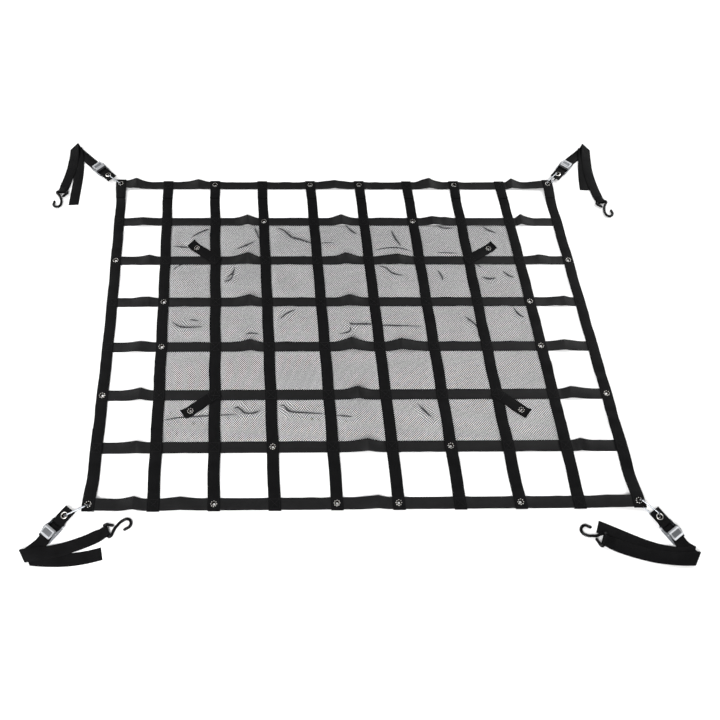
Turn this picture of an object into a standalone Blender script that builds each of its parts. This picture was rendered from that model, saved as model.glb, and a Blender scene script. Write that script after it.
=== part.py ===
"""Cargo net for a pick-up bed: a webbing grid, a fine mesh panel and four corner tie-downs.

Ten length straps lie over eight cross straps. A mesh panel is sewn under the inner
straps. Eyelets sit at twenty-four crossings and in four sewn-on tabs. Each corner
eyelet carries a snap link, a short anchor web with a cam buckle, and a long web that
is folded once and ends in a wire hook. The net lies on the ground plane, z = 0.
"""
import bmesh
import bpy
import math
from mathutils import Vector

# ---------------------------------------------------------------- driving dimensions
WEB_WIDTH = 0.038
WEB_THICK = 0.0018
GAP = 0.0003
PLY = WEB_THICK + GAP          # rise from one ply of webbing to the next
HALF_WEB = WEB_WIDTH / 2
HALF_PLY = WEB_THICK / 2

PITCH_X = 0.1863               # between length straps
PITCH_Y = 0.1814               # between cross straps
LENGTH_STRAPS = 10
CROSS_STRAPS = 8
RACK = -0.0837                 # sideways lean of the length straps, metre per metre
LAY_X = 0.0547                 # puts the middle of the laid-out net on the origin
LAY_Y = -0.0115

MESH_THICK = 0.0010
MESH_INSET = 0.0115            # edge of the mesh panel, inside its border straps' middles
MESH_REST = MESH_THICK + GAP   # underside of a strap that lies on the mesh

FAR_LAP = 0.065                # folded-back end of a length strap at the far edge
NEAR_LAP = 0.245               # the same at the near edge
EDGE = HALF_WEB + 0.004        # flat stretch each side of a crossing
RAMP = 0.017                   # run in which a strap climbs on to another

EYE_HOLE = 0.0063              # clear radius of an eyelet
EYE_BARREL = 0.0070
EYE_FLANGE = 0.0105
EYE_PLATE = 0.0008             # thickness of an eyelet's flange
PUNCH_SIDES = 8
EYE_CUT = (EYE_BARREL + GAP) / math.cos(math.pi / PUNCH_SIDES)     # corners of the punched hole
EYE_LIFT = EYE_PLATE + GAP     # webbing stands on the eyelet's lower flange

LINK_WIRE = 0.0025             # radius of the snap link's wire
LINK_LONG = 0.071              # centre line, bow to bow
LINK_WIDE = 0.020              # centre line, rail to rail
LINK_LEAN = math.radians(65)   # the link stands on its lower rail, leaning
LINK_MID = LINK_WIRE + LINK_WIDE / 2 * math.sin(LINK_LEAN)
CORNER_PLIES = 3
CORNER_LIFT = LINK_MID - (CORNER_PLIES * WEB_THICK + 2 * GAP) / 2
CORNER_RAMP = 0.062

LINK_IN_CORNER = 0.0001        # bow past the middle of the corner eyelet, near its wall
LINK_IN_ANCHOR = 0.0017        # the same at the anchor eyelet
EYE_TO_EYE = LINK_LONG + LINK_IN_CORNER + LINK_IN_ANCHOR
EYE_TO_BAR = 0.028             # anchor eyelet to the buckle's anchor bar
ANCHOR_TAIL = 0.024            # anchor web past its eyelet
BAR_RADIUS = 0.0025
BAR_HEIGHT = 0.008

FRAME_LONG = 0.062             # buckle frame, from just behind the bar
FRAME_INSIDE = 0.0406
FRAME_WALL = 0.0016
FLOOR_FRONT = 0.0075           # front edge of the frame's floor, from the bar
FLOOR_LOW = WEB_THICK + GAP
FLOOR_THICK = 0.0015
PIN_U = 0.026                  # lever pin, from the bar
PIN_Z = 0.015
PIN_RADIUS = 0.0020
PIN_HOLE = PIN_RADIUS + GAP
LEVER_WIDE = 0.0382

HOOK_WIRE = 0.0045             # radius of the hook's wire with its coating
HOOK_WEB = 0.030               # webbing gathered in the hook's eye
HOOK_LAP = 0.050               # webbing sewn back on itself behind the hook
PEAK_RUN = 0.060               # run in which a fold's standing corner comes down
LEG_STEP = 0.048               # between the rows of a leg

TAB_ROOT = 0.015               # tab behind the crossing's middle
TAB_TIP = 0.120
TAB_EYE = 0.094

# Sideways set of each length strap, in millimetres, at the far edge, middle and near
# edge, and the sway between crossings.
LENGTH_TABLE = [
    # far, middle, near, sway
    (-4, 4, -3, 1.5),
    (-7, 1, 3, -2.0),
    (-9, -1, 0, -2.5),
    (-10, -4, -2, -1.5),
    (-7, 0, 1, 1.5),
    (0, 3, 3, 1.0),
    (2, 4, 4, 1.5),
    (4, 1, 3, -2.0),
    (0, 3, -3, 1.0),
    (3, -3, -9, -2.0),
]

# Buckles in the cross straps: cell from the left, place of the peak and of the two feet
# in that cell, rise of the far and near edge and drift to the far side in millimetres.
HUMP_TABLE = [
    # strap, cell, foot, peak, foot, far, near, drift
    (0, 0, 0.14, 0.34, 0.62, 17, 3, 5),
    (0, 1, 0.30, 0.66, 0.86, 16, 2, 2),
    (0, 4, 0.16, 0.50, 0.84, 9, 6, 5),
    (0, 6, 0.20, 0.48, 0.72, 22, 9, 6),
    (0, 8, 0.14, 0.24, 0.50, 20, 9, 6),
    (1, 0, 0.16, 0.50, 0.84, 7, 2, 0),
    (1, 2, 0.44, 0.68, 0.86, 24, 3, 4),
    (1, 4, 0.34, 0.56, 0.80, 20, 8, 4),
    (1, 6, 0.20, 0.40, 0.80, 10, 6, 2),
    (1, 8, 0.14, 0.23, 0.46, 22, 8, 6),
    (2, 0, 0.40, 0.70, 0.86, 12, 2, 0),
    (2, 2, 0.34, 0.66, 0.86, 26, 3, 6),
    (2, 4, 0.36, 0.56, 0.84, 24, 5, 5),
    (2, 5, 0.14, 0.58, 0.86, 18, 2, 3),
    (2, 8, 0.14, 0.40, 0.70, 9, 3, 2),
    (3, 0, 0.40, 0.72, 0.86, 12, 3, 0),
    (3, 2, 0.40, 0.67, 0.86, 25, 4, 5),
    (3, 4, 0.34, 0.54, 0.80, 24, 5, 4),
    (3, 8, 0.30, 0.70, 0.86, 8, 4, 1),
    (4, 0, 0.36, 0.62, 0.86, 12, 4, 1),
    (4, 2, 0.42, 0.66, 0.86, 24, 6, 4),
    (4, 4, 0.24, 0.50, 0.80, 26, 12, 8),
    (4, 5, 0.16, 0.40, 0.84, 16, 10, 6),
    (4, 8, 0.16, 0.46, 0.80, 10, 5, 3),
    (5, 0, 0.42, 0.68, 0.86, 14, 8, 6),
    (5, 4, 0.28, 0.52, 0.74, 26, 8, 6),
    (5, 8, 0.16, 0.34, 0.70, 12, 8, 5),
    (6, 0, 0.40, 0.68, 0.86, 16, 3, 2),
    (6, 4, 0.30, 0.60, 0.84, 22, 6, 5),
    (6, 8, 0.14, 0.26, 0.52, 14, 5, 3),
    (7, 0, 0.44, 0.70, 0.86, 10, 12, 6),
    (7, 1, 0.14, 0.44, 0.80, 6, 2, 5),
    (7, 4, 0.30, 0.68, 0.86, 12, 4, 5),
    (7, 8, 0.20, 0.50, 0.84, 5, 2, 2),
]

# Crossings with an eyelet: cross strap, then the length straps.
EYELET_TABLE = {
    0: (0, 2, 4, 5, 7, 9),
    1: (3, 6),
    2: (0, 9),
    3: (1, 8),
    4: (1, 8),
    5: (0, 9),
    6: (3, 6),
    7: (0, 2, 4, 5, 7, 9),
}

# Tabs: crossing, heading in degrees and height of the curled end in millimetres.
TAB_TABLE = [
    # name, length strap, cross strap, heading, tip
    ("far_left", 2, 2, 143, 13),
    ("far_right", 7, 2, 34, 6),
    ("near_left", 2, 5, 217, 9),
    ("near_right", 7, 5, -38, 5),
]

# Corner tie-downs: crossing, headings of the link and of the buckle in degrees, side to
# which the hook curls, and the run after the fold in which the hook leg stays on the
# free leg, nil where it stays up to the hook.
CORNER_TABLE = [
    # name, strap, cross, link, buckle, curl, stacked
    ("far_left", 0, 0, 141.5, 137, -1, 0.0),
    ("far_right", 9, 0, 46.6, 51, 1, 0.230),
    ("near_left", 0, 7, 207, 234, -1, 0.130),
    ("near_right", 9, 7, -43, -56, -1, 0.0),
]

# The two legs of each long web: places of the fold and of the leg's end in metres,
# headings in which the leg sets off and arrives in degrees, and the rise of the fold's
# outer corner in millimetres.
LEG_TABLE = {
    # corner: hook leg, free leg; each fold x, fold y, end x, end y, set off, arrive, rise
    "far_left": (
        (-1.111, 0.829, -1.117, 0.597, -78, -92, 17),
        (-1.101, 0.819, -1.066, 0.538, -70, -86, 7),
    ),
    "far_right": (
        (0.972, 0.831, 0.988, 0.548, -100, -76, 17),
        (0.962, 0.821, 0.937, 0.614, -99, -92, 7),
    ),
    "near_left": (
        (-0.949, -0.781, -0.722, -0.714, 5, 30, 12),
        (-0.936, -0.789, -0.727, -0.778, -8, 17, 4),
    ),
    "near_right": (
        (1.020, -0.803, 0.757, -0.752, 184, 156, 10),
        (1.018, -0.790, 0.746, -0.710, 187, 158, 3),
    ),
}

# Ridges in the mesh panel: ends in metres on the net and height in millimetres.
CREASE_TABLE = [
    # from x, y, to x, y, height
    (-0.662, 0.341, -0.576, 0.334, 4),
    (-0.398, 0.325, -0.345, 0.352, 5),
    (-0.247, 0.418, -0.155, 0.352, 7),
    (-0.118, 0.350, -0.078, 0.352, 4),
    (-0.036, 0.446, 0.004, 0.386, 6),
    (0.040, 0.320, 0.115, 0.335, 5),
    (0.292, 0.440, 0.368, 0.424, 5),
    (0.474, 0.436, 0.530, 0.400, 5),
    (0.520, 0.218, 0.558, 0.190, 4),
    (-0.052, 0.000, 0.072, 0.000, 6),
    (-0.590, 0.008, -0.470, -0.010, 5),
    (-0.592, -0.357, -0.400, -0.339, 6),
    (-0.395, -0.338, -0.280, -0.330, 4),
    (-0.250, -0.316, -0.120, -0.336, 6),
    (0.180, -0.316, 0.216, -0.352, 5),
    (0.330, -0.090, 0.400, -0.160, 4),
    (-0.300, -0.140, -0.220, -0.190, 4),
]

# ---------------------------------------------------------------- clean file, collections
for leftover in list(bpy.data.objects):
    bpy.data.objects.remove(leftover, do_unlink=True)

net_parts = bpy.data.collections.new("cargo_net")
cutters = bpy.data.collections.new("cutters")
bpy.context.scene.collection.children.link(net_parts)
bpy.context.scene.collection.children.link(cutters)

lay_out = bpy.data.objects.new("lay_out", None)
lay_out.location = (LAY_X, LAY_Y, 0)
net_parts.objects.link(lay_out)


def finish(name, colour, roughness, metallic):
    """A plain material in the piece's own colour."""
    material = bpy.data.materials.new(name)
    material.use_nodes = True
    shader = material.node_tree.nodes["Principled BSDF"]
    shader.inputs["Base Color"].default_value = (*colour, 1)
    shader.inputs["Roughness"].default_value = roughness
    shader.inputs["Metallic"].default_value = metallic
    return material


WEBBING = finish("black_polypropylene_webbing", (0.012, 0.012, 0.013), 0.75, 0)
MESH_CLOTH = finish("grey_polyester_mesh", (0.10, 0.10, 0.10), 0.8, 0)
ZINC = finish("zinc_plated_steel", (0.62, 0.63, 0.65), 0.28, 1)
EYELET_BRASS = finish("nickel_plated_brass", (0.66, 0.66, 0.67), 0.25, 1)
VINYL = finish("black_vinyl_coated_steel", (0.010, 0.010, 0.011), 0.3, 0)


def add_piece(name, mesh, material, collection=net_parts):
    """Link a mesh as one named object of the net."""
    piece = bpy.data.objects.new(name, mesh)
    collection.objects.link(piece)
    piece.parent = lay_out
    if material is not None:
        mesh.materials.append(material)
    return piece


def cut_with(piece, cutter):
    """Take a cutter's volume out of a piece."""
    cut = piece.modifiers.new("cut", "BOOLEAN")
    cut.operation = "DIFFERENCE"
    cut.object = cutter
    cut.solver = "EXACT"


def join_with(piece, other):
    """Fuse another shape on to a piece."""
    fuse = piece.modifiers.new("join", "BOOLEAN")
    fuse.operation = "UNION"
    fuse.object = other
    fuse.solver = "EXACT"


def hide_cutter(cutter):
    cutter.hide_render = True
    cutter.display_type = "WIRE"
    return cutter


def round_cutter(name, centre, radius, height, sides=PUNCH_SIDES):
    """An upright round punch for an eyelet's hole."""
    shape = bmesh.new()
    bmesh.ops.create_cone(
        shape, cap_ends=True, segments=sides, radius1=radius, radius2=radius, depth=height
    )
    mesh = bpy.data.meshes.new(name)
    shape.to_mesh(mesh)
    shape.free()
    punch = add_piece(name, mesh, None, cutters)
    punch.location = centre
    return hide_cutter(punch)


def heading(degrees):
    """Unit vector on the ground in a compass-like direction from +X."""
    turn = math.radians(degrees)
    return Vector((math.cos(turn), math.sin(turn), 0))


def across(direction):
    """Unit vector on the ground to the left of a direction."""
    return Vector((-direction.y, direction.x, 0))


def web_from_rows(name, rows, material=WEBBING, thickness=WEB_THICK):
    """A strip of cloth: rows of edge points along its length, thickened both ways."""
    sheet = bmesh.new()
    lines = []
    for row in rows:
        lines.append([sheet.verts.new(point) for point in row])
    for before, after in zip(lines, lines[1:]):
        for k in range(len(before) - 1):
            sheet.faces.new((before[k], before[k + 1], after[k + 1], after[k]))
    mesh = bpy.data.meshes.new(name)
    sheet.to_mesh(mesh)
    sheet.free()
    piece = add_piece(name, mesh, material)
    thicken = piece.modifiers.new("thickness", "SOLIDIFY")
    thicken.thickness = thickness
    thicken.offset = 0
    thicken.use_even_offset = True
    thicken.use_rim = True
    return piece


def turn_points(centre, radius, start, stop, steps):
    """Points (run, height) of a bend about a centre, from one angle to another."""
    points = []
    for k in range(steps + 1):
        angle = math.radians(start + (stop - start) * k / steps)
        points.append((centre[0] + radius * math.cos(angle), centre[1] + radius * math.sin(angle)))
    return points


# ---------------------------------------------------------------- places on the grid
def row_y(cross):
    return (3.5 - cross) * PITCH_Y


def strap_set(strap, y):
    """Sideways set of a length strap at a place along it."""
    far, middle, near, sway = LENGTH_TABLE[strap]
    run = y / row_y(0)
    bend = middle + (far - near) / 2 * run + ((far + near) / 2 - middle) * run * run
    between = math.sin(math.pi * (3.5 - y / PITCH_Y)) ** 2
    return (bend + sway * between) / 1000


def strap_x(strap, y):
    return (strap - 4.5) * PITCH_X + RACK * y + strap_set(strap, y)


def has_eyelet(strap, cross):
    return strap in EYELET_TABLE[cross]


def on_mesh(strap, cross):
    return 1 <= strap <= LENGTH_STRAPS - 2 and 1 <= cross <= CROSS_STRAPS - 2


def is_corner(strap, cross):
    return strap in (0, LENGTH_STRAPS - 1) and cross in (0, CROSS_STRAPS - 1)


def crossing_base(strap, cross):
    """Height of the lowest ply's underside at a crossing."""
    base = MESH_REST if on_mesh(strap, cross) else 0
    if is_corner(strap, cross):
        return CORNER_LIFT
    if has_eyelet(strap, cross):
        base += EYE_LIFT if not on_mesh(strap, cross) else EYE_LIFT - MESH_THICK
    return base


def cross_level(strap, cross):
    """How many plies lie below the cross strap: the length strap's end loop at the edges."""
    return 1 if cross in (0, CROSS_STRAPS - 1) else 0


# ---------------------------------------------------------------- eyelet punches
def eyelet_place(strap, cross):
    y = row_y(cross)
    return Vector((strap_x(strap, y), y, 0))


punches = {}
for cross, straps in EYELET_TABLE.items():
    for strap in straps:
        place = eyelet_place(strap, cross)
        place.z = 0.012
        punches[strap, cross] = round_cutter(f"punch_{strap}_{cross}", place, EYE_CUT, 0.05)


def eyelet_ring(name, centre, pile, steps=10):
    """A rolled eyelet: a barrel with a flange each side of a pile of webbing."""
    inner = pile / 2 + GAP
    outer = inner + EYE_PLATE
    profile = [
        (EYE_HOLE, outer),
        (EYE_FLANGE, outer),
        (EYE_FLANGE, inner),
        (EYE_BARREL, inner),
        (EYE_BARREL, -inner),
        (EYE_FLANGE, -inner),
        (EYE_FLANGE, -outer),
        (EYE_HOLE, -outer),
    ]
    outline = bmesh.new()
    corners = [outline.verts.new((radius, 0, height)) for radius, height in profile]
    for first, second in zip(corners, corners[1:] + corners[:1]):
        outline.edges.new((first, second))
    mesh = bpy.data.meshes.new(name)
    outline.to_mesh(mesh)
    outline.free()
    ring = add_piece(name, mesh, EYELET_BRASS)
    ring.location = centre
    lathe = ring.modifiers.new("turned", "SCREW")
    lathe.angle = math.tau
    lathe.screw_offset = 0
    lathe.steps = steps
    lathe.render_steps = steps
    lathe.use_merge_vertices = True
    lathe.merge_threshold = 0.00001
    lathe.use_normal_flip = False
    return ring


# ---------------------------------------------------------------- cross straps
def hump_rows(cross, cell):
    """Stations of the buckles in one cell: run in the cell, far rise, near rise, drift."""
    stations = []
    for strap, at_cell, foot, peak, end, far, near, drift in HUMP_TABLE:
        if strap != cross or at_cell != cell:
            continue
        shape = ((foot, 0), ((foot + peak) / 2, 0.42), (peak, 1), ((peak + end) / 2, 0.36), (end, 0))
        for place, share in shape:
            stations.append((place, far * share / 1000, near * share / 1000, drift * share / 1000))
    return stations


def cross_strap(cross):
    """One cross strap, flat under the length straps and buckled in some cells."""
    y = row_y(cross)
    stations = []
    for strap in range(LENGTH_STRAPS):
        middle = strap_x(strap, y)
        base = crossing_base(strap, cross) + cross_level(strap, cross) * PLY
        left, right = middle - EDGE, middle + EDGE
        if strap == 0:
            left = middle - HALF_WEB + 0.001
        if strap == LENGTH_STRAPS - 1:
            right = middle + HALF_WEB - 0.001
        stations.append((left, base, base, 0))
        stations.append((right, base, base, 0))
        if strap == LENGTH_STRAPS - 1:
            continue
        after = strap_x(strap + 1, y)
        rest = MESH_REST if on_mesh(strap, cross) and on_mesh(strap + 1, cross) else 0
        humps = hump_rows(cross, strap)
        next_base = crossing_base(strap + 1, cross) + cross_level(strap + 1, cross) * PLY
        run_out = CORNER_RAMP if is_corner(strap, cross) else RAMP
        run_in = CORNER_RAMP if is_corner(strap + 1, cross) else RAMP
        start, stop = middle + EDGE, after - EDGE
        if humps:
            pitch = after - middle
            for place, far, near, drift in humps:
                x = middle + place * pitch
                blend = max(0.0, 1 - (x - start) / run_out) * (base - rest)
                blend += max(0.0, 1 - (stop - x) / run_in) * (next_base - rest)
                stations.append((x, rest + blend + near, rest + blend + far, drift))
        else:
            if base > rest + 0.0001:
                stations.append((start + run_out, rest, rest, 0))
            if next_base > rest + 0.0001:
                stations.append((stop - run_in, rest, rest, 0))
    rows = []
    for x, near, far, drift in sorted(stations):
        wide = math.sqrt(WEB_WIDTH ** 2 - (far - near) ** 2)
        low = Vector((x - RACK * HALF_WEB, y - HALF_WEB + drift * 0.4, near + HALF_PLY))
        high = Vector((x + RACK * HALF_WEB, y - HALF_WEB + wide + drift, far + HALF_PLY))
        rows.append((low, high))
    piece = web_from_rows(f"cross_strap_{cross + 1}", rows)
    for strap in EYELET_TABLE[cross]:
        cut_with(piece, punches[strap, cross])
    return piece


for cross in range(CROSS_STRAPS):
    cross_strap(cross)


# ---------------------------------------------------------------- length straps
def main_heights(strap):
    """Stations (y, height of the lower ply's middle) along a length strap, far to near."""
    stations = []
    for cross in range(CROSS_STRAPS):
        y = row_y(cross)
        edge_row = cross in (0, CROSS_STRAPS - 1)
        level = 0 if edge_row else 1
        height = crossing_base(strap, cross) + level * PLY + HALF_PLY
        run = CORNER_RAMP if is_corner(strap, cross) else RAMP
        if cross > 0:
            previous = cross - 1
            if edge_row or previous == 0:
                stations.append((y + EDGE + run, HALF_PLY))
            stations.append((y + EDGE, height))
        if cross < CROSS_STRAPS - 1:
            stations.append((y - EDGE, height))
            if edge_row:
                stations.append((y - EDGE - run, HALF_PLY))
            else:
                stations.append((y - PITCH_Y / 2, HALF_PLY + MESH_REST + PLY * 0.6))
    last_inner = row_y(CROSS_STRAPS - 2) - PITCH_Y / 2
    return [place for place in stations if abs(place[0] - last_inner) > 0.001]


def height_at(stations, y):
    """Height on a run of stations that goes from far to near."""
    if y >= stations[0][0]:
        return stations[0][1]
    for (y0, z0), (y1, z1) in zip(stations, stations[1:]):
        if y1 <= y <= y0:
            return z0 + (z1 - z0) * (y0 - y) / (y0 - y1)
    return stations[-1][1]


def length_strap(strap):
    """One length strap: its ends go under the edge straps, turn and lap back on top."""
    main = main_heights(strap)
    far_y, near_y = row_y(0), row_y(CROSS_STRAPS - 1)
    far_low = crossing_base(strap, 0) + HALF_PLY
    near_low = crossing_base(strap, CROSS_STRAPS - 1) + HALF_PLY
    far_end = far_y - FAR_LAP
    near_end = near_y + NEAR_LAP + (0.022 if strap >= 8 else 0)
    path = [(far_end, height_at(main, far_end) + PLY)]
    knee = far_y - EDGE - RAMP
    path.append((knee, height_at(main, knee) + PLY))
    path.append((far_y - EDGE, far_low + 2 * PLY))
    path += turn_points((far_y + HALF_WEB, far_low + PLY), PLY, 90, -90, 4)
    path += main
    path += turn_points((near_y - HALF_WEB, near_low + PLY), PLY, -90, -270, 4)
    path.append((near_y + EDGE, near_low + 2 * PLY))
    knee = near_y + EDGE + RAMP
    path.append((knee, height_at(main, knee) + PLY))
    for y, height in reversed(main):
        if knee + 0.002 < y < near_end - 0.004:
            path.append((y, height + PLY))
    path.append((near_end, height_at(main, near_end) + PLY))
    half = HALF_WEB * math.sqrt(1 + RACK * RACK)
    rows = []
    for y, z in path:
        x = strap_x(strap, max(near_y, min(far_y, y))) + RACK * (y - max(near_y, min(far_y, y)))
        rows.append((Vector((x - half, y, z)), Vector((x + half, y, z))))
    piece = web_from_rows(f"length_strap_{strap + 1}", rows)
    for cross in range(CROSS_STRAPS):
        if has_eyelet(strap, cross):
            cut_with(piece, punches[strap, cross])
    return piece


for strap in range(LENGTH_STRAPS):
    length_strap(strap)


# ---------------------------------------------------------------- mesh panel
def beside_line(x, y, x0, y0, x1, y1):
    """Distance of a point from a line between two places."""
    along = Vector((x1 - x0, y1 - y0))
    offset = Vector((x - x0, y - y0))
    share = max(0.0, min(1.0, offset.dot(along) / along.length_squared))
    return (offset - along * share).length


def mesh_rise(x, y):
    """Height of the mesh panel's ridges, nil beside the tabs."""
    for _, strap, cross, turn, _ in TAB_TABLE:
        root = eyelet_place(strap, cross)
        tip = root + heading(turn) * TAB_TIP
        if beside_line(x, y, root.x, root.y, tip.x, tip.y) < HALF_WEB + 0.045:
            return 0.0
    rise = 0.0
    for x0, y0, x1, y1, height in CREASE_TABLE:
        share = 1 - beside_line(x, y, x0, y0, x1, y1) / 0.040
        rise = max(rise, share * height / 1000)
    return rise


def mesh_panel():
    """The fine mesh under the inner straps, flat at the straps and puckered between."""
    lines_y = [row_y(1) - MESH_INSET]
    for cross in range(1, CROSS_STRAPS - 2):
        for share in (0.15, 0.5, 0.85):
            lines_y.append(row_y(cross) - share * PITCH_Y)
    lines_y.append(row_y(CROSS_STRAPS - 2) + MESH_INSET)
    rows = []
    for y in lines_y:
        row = [(strap_x(1, y) + MESH_INSET, 0)]
        for strap in range(1, LENGTH_STRAPS - 2):
            left = strap_x(strap, y)
            wide = strap_x(strap + 1, y) - left
            for share in (0.15, 0.38, 0.62, 0.85):
                row.append((left + share * wide, share in (0.38, 0.62)))
        row.append((strap_x(LENGTH_STRAPS - 2, y) - MESH_INSET, 0))
        between = abs((3.5 - y / PITCH_Y) % 1 - 0.5) < 0.1
        rows.append([
            Vector((x, y, MESH_THICK / 2 + (mesh_rise(x, y) if free and between else 0)))
            for x, free in row
        ])
    return web_from_rows("mesh_panel", rows, MESH_CLOTH, MESH_THICK)


mesh_panel()


# ---------------------------------------------------------------- tabs
def tab(name, strap, cross, turn, tip_rise):
    """A short webbing tab sewn on a crossing, with an eyelet near its free end."""
    root = eyelet_place(strap, cross)
    along = heading(turn)
    side = across(along) * HALF_WEB
    floor = MESH_REST + HALF_PLY
    eye_height = MESH_REST + GAP + EYE_PLATE + GAP + HALF_PLY
    stations = [
        # run from the crossing's middle, height
        (-TAB_ROOT, floor + 2 * PLY),
        (0.046, floor + 2 * PLY),
        (0.062, floor + PLY + 0.0003),
        (0.078, eye_height),
        (TAB_EYE + 0.012, eye_height),
        (TAB_TIP - 0.006, eye_height + tip_rise * 0.45 / 1000),
        (TAB_TIP, eye_height + tip_rise / 1000),
    ]
    rows = []
    for run, height in stations:
        centre = root + along * run + Vector((0, 0, height))
        rows.append((centre - side, centre + side))
    piece = web_from_rows(f"tab_{name}", rows)
    eye = root + along * TAB_EYE + Vector((0, 0, eye_height))
    cut_with(piece, round_cutter(f"tab_punch_{name}", eye, EYE_CUT, 0.02))
    eyelet_ring(f"tab_eyelet_{name}", eye, WEB_THICK, 8)


for entry in TAB_TABLE:
    tab(*entry)


# ---------------------------------------------------------------- wire pieces
def wire(name, points, radius, material, closed=False):
    """A bent wire along a run of points."""
    curve = bpy.data.curves.new(name, "CURVE")
    curve.dimensions = "3D"
    curve.bevel_depth = radius
    curve.bevel_resolution = 2
    curve.use_fill_caps = True
    spline = curve.splines.new("POLY")
    spline.points.add(len(points) - 1)
    for slot, point in zip(spline.points, points):
        slot.co = (*point, 1)
    spline.use_cyclic_u = closed
    piece = bpy.data.objects.new(name, curve)
    net_parts.objects.link(piece)
    piece.parent = lay_out
    curve.materials.append(material)
    return piece


def snap_link(name, corner, along):
    """The snap link through the corner eyelet and the anchor eyelet, standing on one rail."""
    lean = across(along) * math.cos(LINK_LEAN) + Vector((0, 0, math.sin(LINK_LEAN)))
    middle = corner + along * (LINK_IN_CORNER + LINK_LONG / 2)
    middle.z = LINK_MID
    straight = LINK_LONG / 2 - LINK_WIDE / 2
    points = []
    for end in (1, -1):
        for k in range(7):
            angle = math.radians(-90 + 30 * k)
            run = end * (straight + LINK_WIDE / 2 * math.cos(angle))
            points.append(middle + along * run + lean * (end * LINK_WIDE / 2 * math.sin(angle)))
    return wire(f"snap_link_{name}", points, LINK_WIRE, ZINC, closed=True)


def wire_hook(name, bar, along, curl, bar_height):
    """The coated wire hook: a three-cornered eye, a short shank and an open bend."""
    eye = HOOK_WEB / 2 + 0.0010
    path = [
        # run from the bar, sideways
        (0.0225, -0.0090),
        (0.0140, -0.0160),
        (0.0075, -0.0205),
        (0.0026, -0.0200),
        (0.0000, -eye),
        (0.0000, eye),
        (0.0026, 0.0200),
        (0.0075, 0.0205),
        (0.0160, 0.0130),
        (0.0270, 0.0040),
        (0.0350, -0.0010),
        (0.0450, -0.0050),
    ]
    bend_run, bend_side, bend = 0.058, 0.008, 0.014
    for k in range(7):
        angle = math.radians(-95 + 30 * k)
        path.append((bend_run + bend * math.cos(angle), bend_side + bend * math.sin(angle)))
    path.append((0.0475, bend_side + bend * 0.98))
    points = []
    left = across(along) * curl
    for run, sideways in path:
        share = min(1.0, max(0.0, run / bend_run))
        height = bar_height + (HOOK_WIRE - bar_height) * share
        points.append(bar + along * run + left * sideways + Vector((0, 0, height)))
    return wire(f"wire_hook_{name}", points, HOOK_WIRE, VINYL)


# ---------------------------------------------------------------- cam buckle
def plate_outline(name, outline, thick, start, collection=net_parts, material=ZINC):
    """A flat outline in (run, height), as thick as asked from a start across the buckle."""
    shape = bmesh.new()
    corners = [shape.verts.new((run, start, height)) for run, height in outline]
    face = shape.faces.new(corners)
    sweep = bmesh.ops.extrude_face_region(shape, geom=[face])
    moved = [item for item in sweep["geom"] if isinstance(item, bmesh.types.BMVert)]
    bmesh.ops.translate(shape, verts=moved, vec=(0, thick, 0))
    bmesh.ops.recalc_face_normals(shape, faces=shape.faces)
    mesh = bpy.data.meshes.new(name)
    shape.to_mesh(mesh)
    shape.free()
    return add_piece(name, mesh, material, collection)


def cross_rod(name, run, height, radius, reach, sides=8):
    """A round rod straight across the buckle."""
    shape = bmesh.new()
    bmesh.ops.create_cone(
        shape, cap_ends=True, segments=sides, radius1=radius, radius2=radius, depth=2 * reach
    )
    mesh = bpy.data.meshes.new(name)
    shape.to_mesh(mesh)
    shape.free()
    rod = add_piece(name, mesh, ZINC, cutters)
    rod.location = (run, 0, height)
    rod.rotation_euler = (math.pi / 2, 0, 0)
    return hide_cutter(rod)


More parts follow.
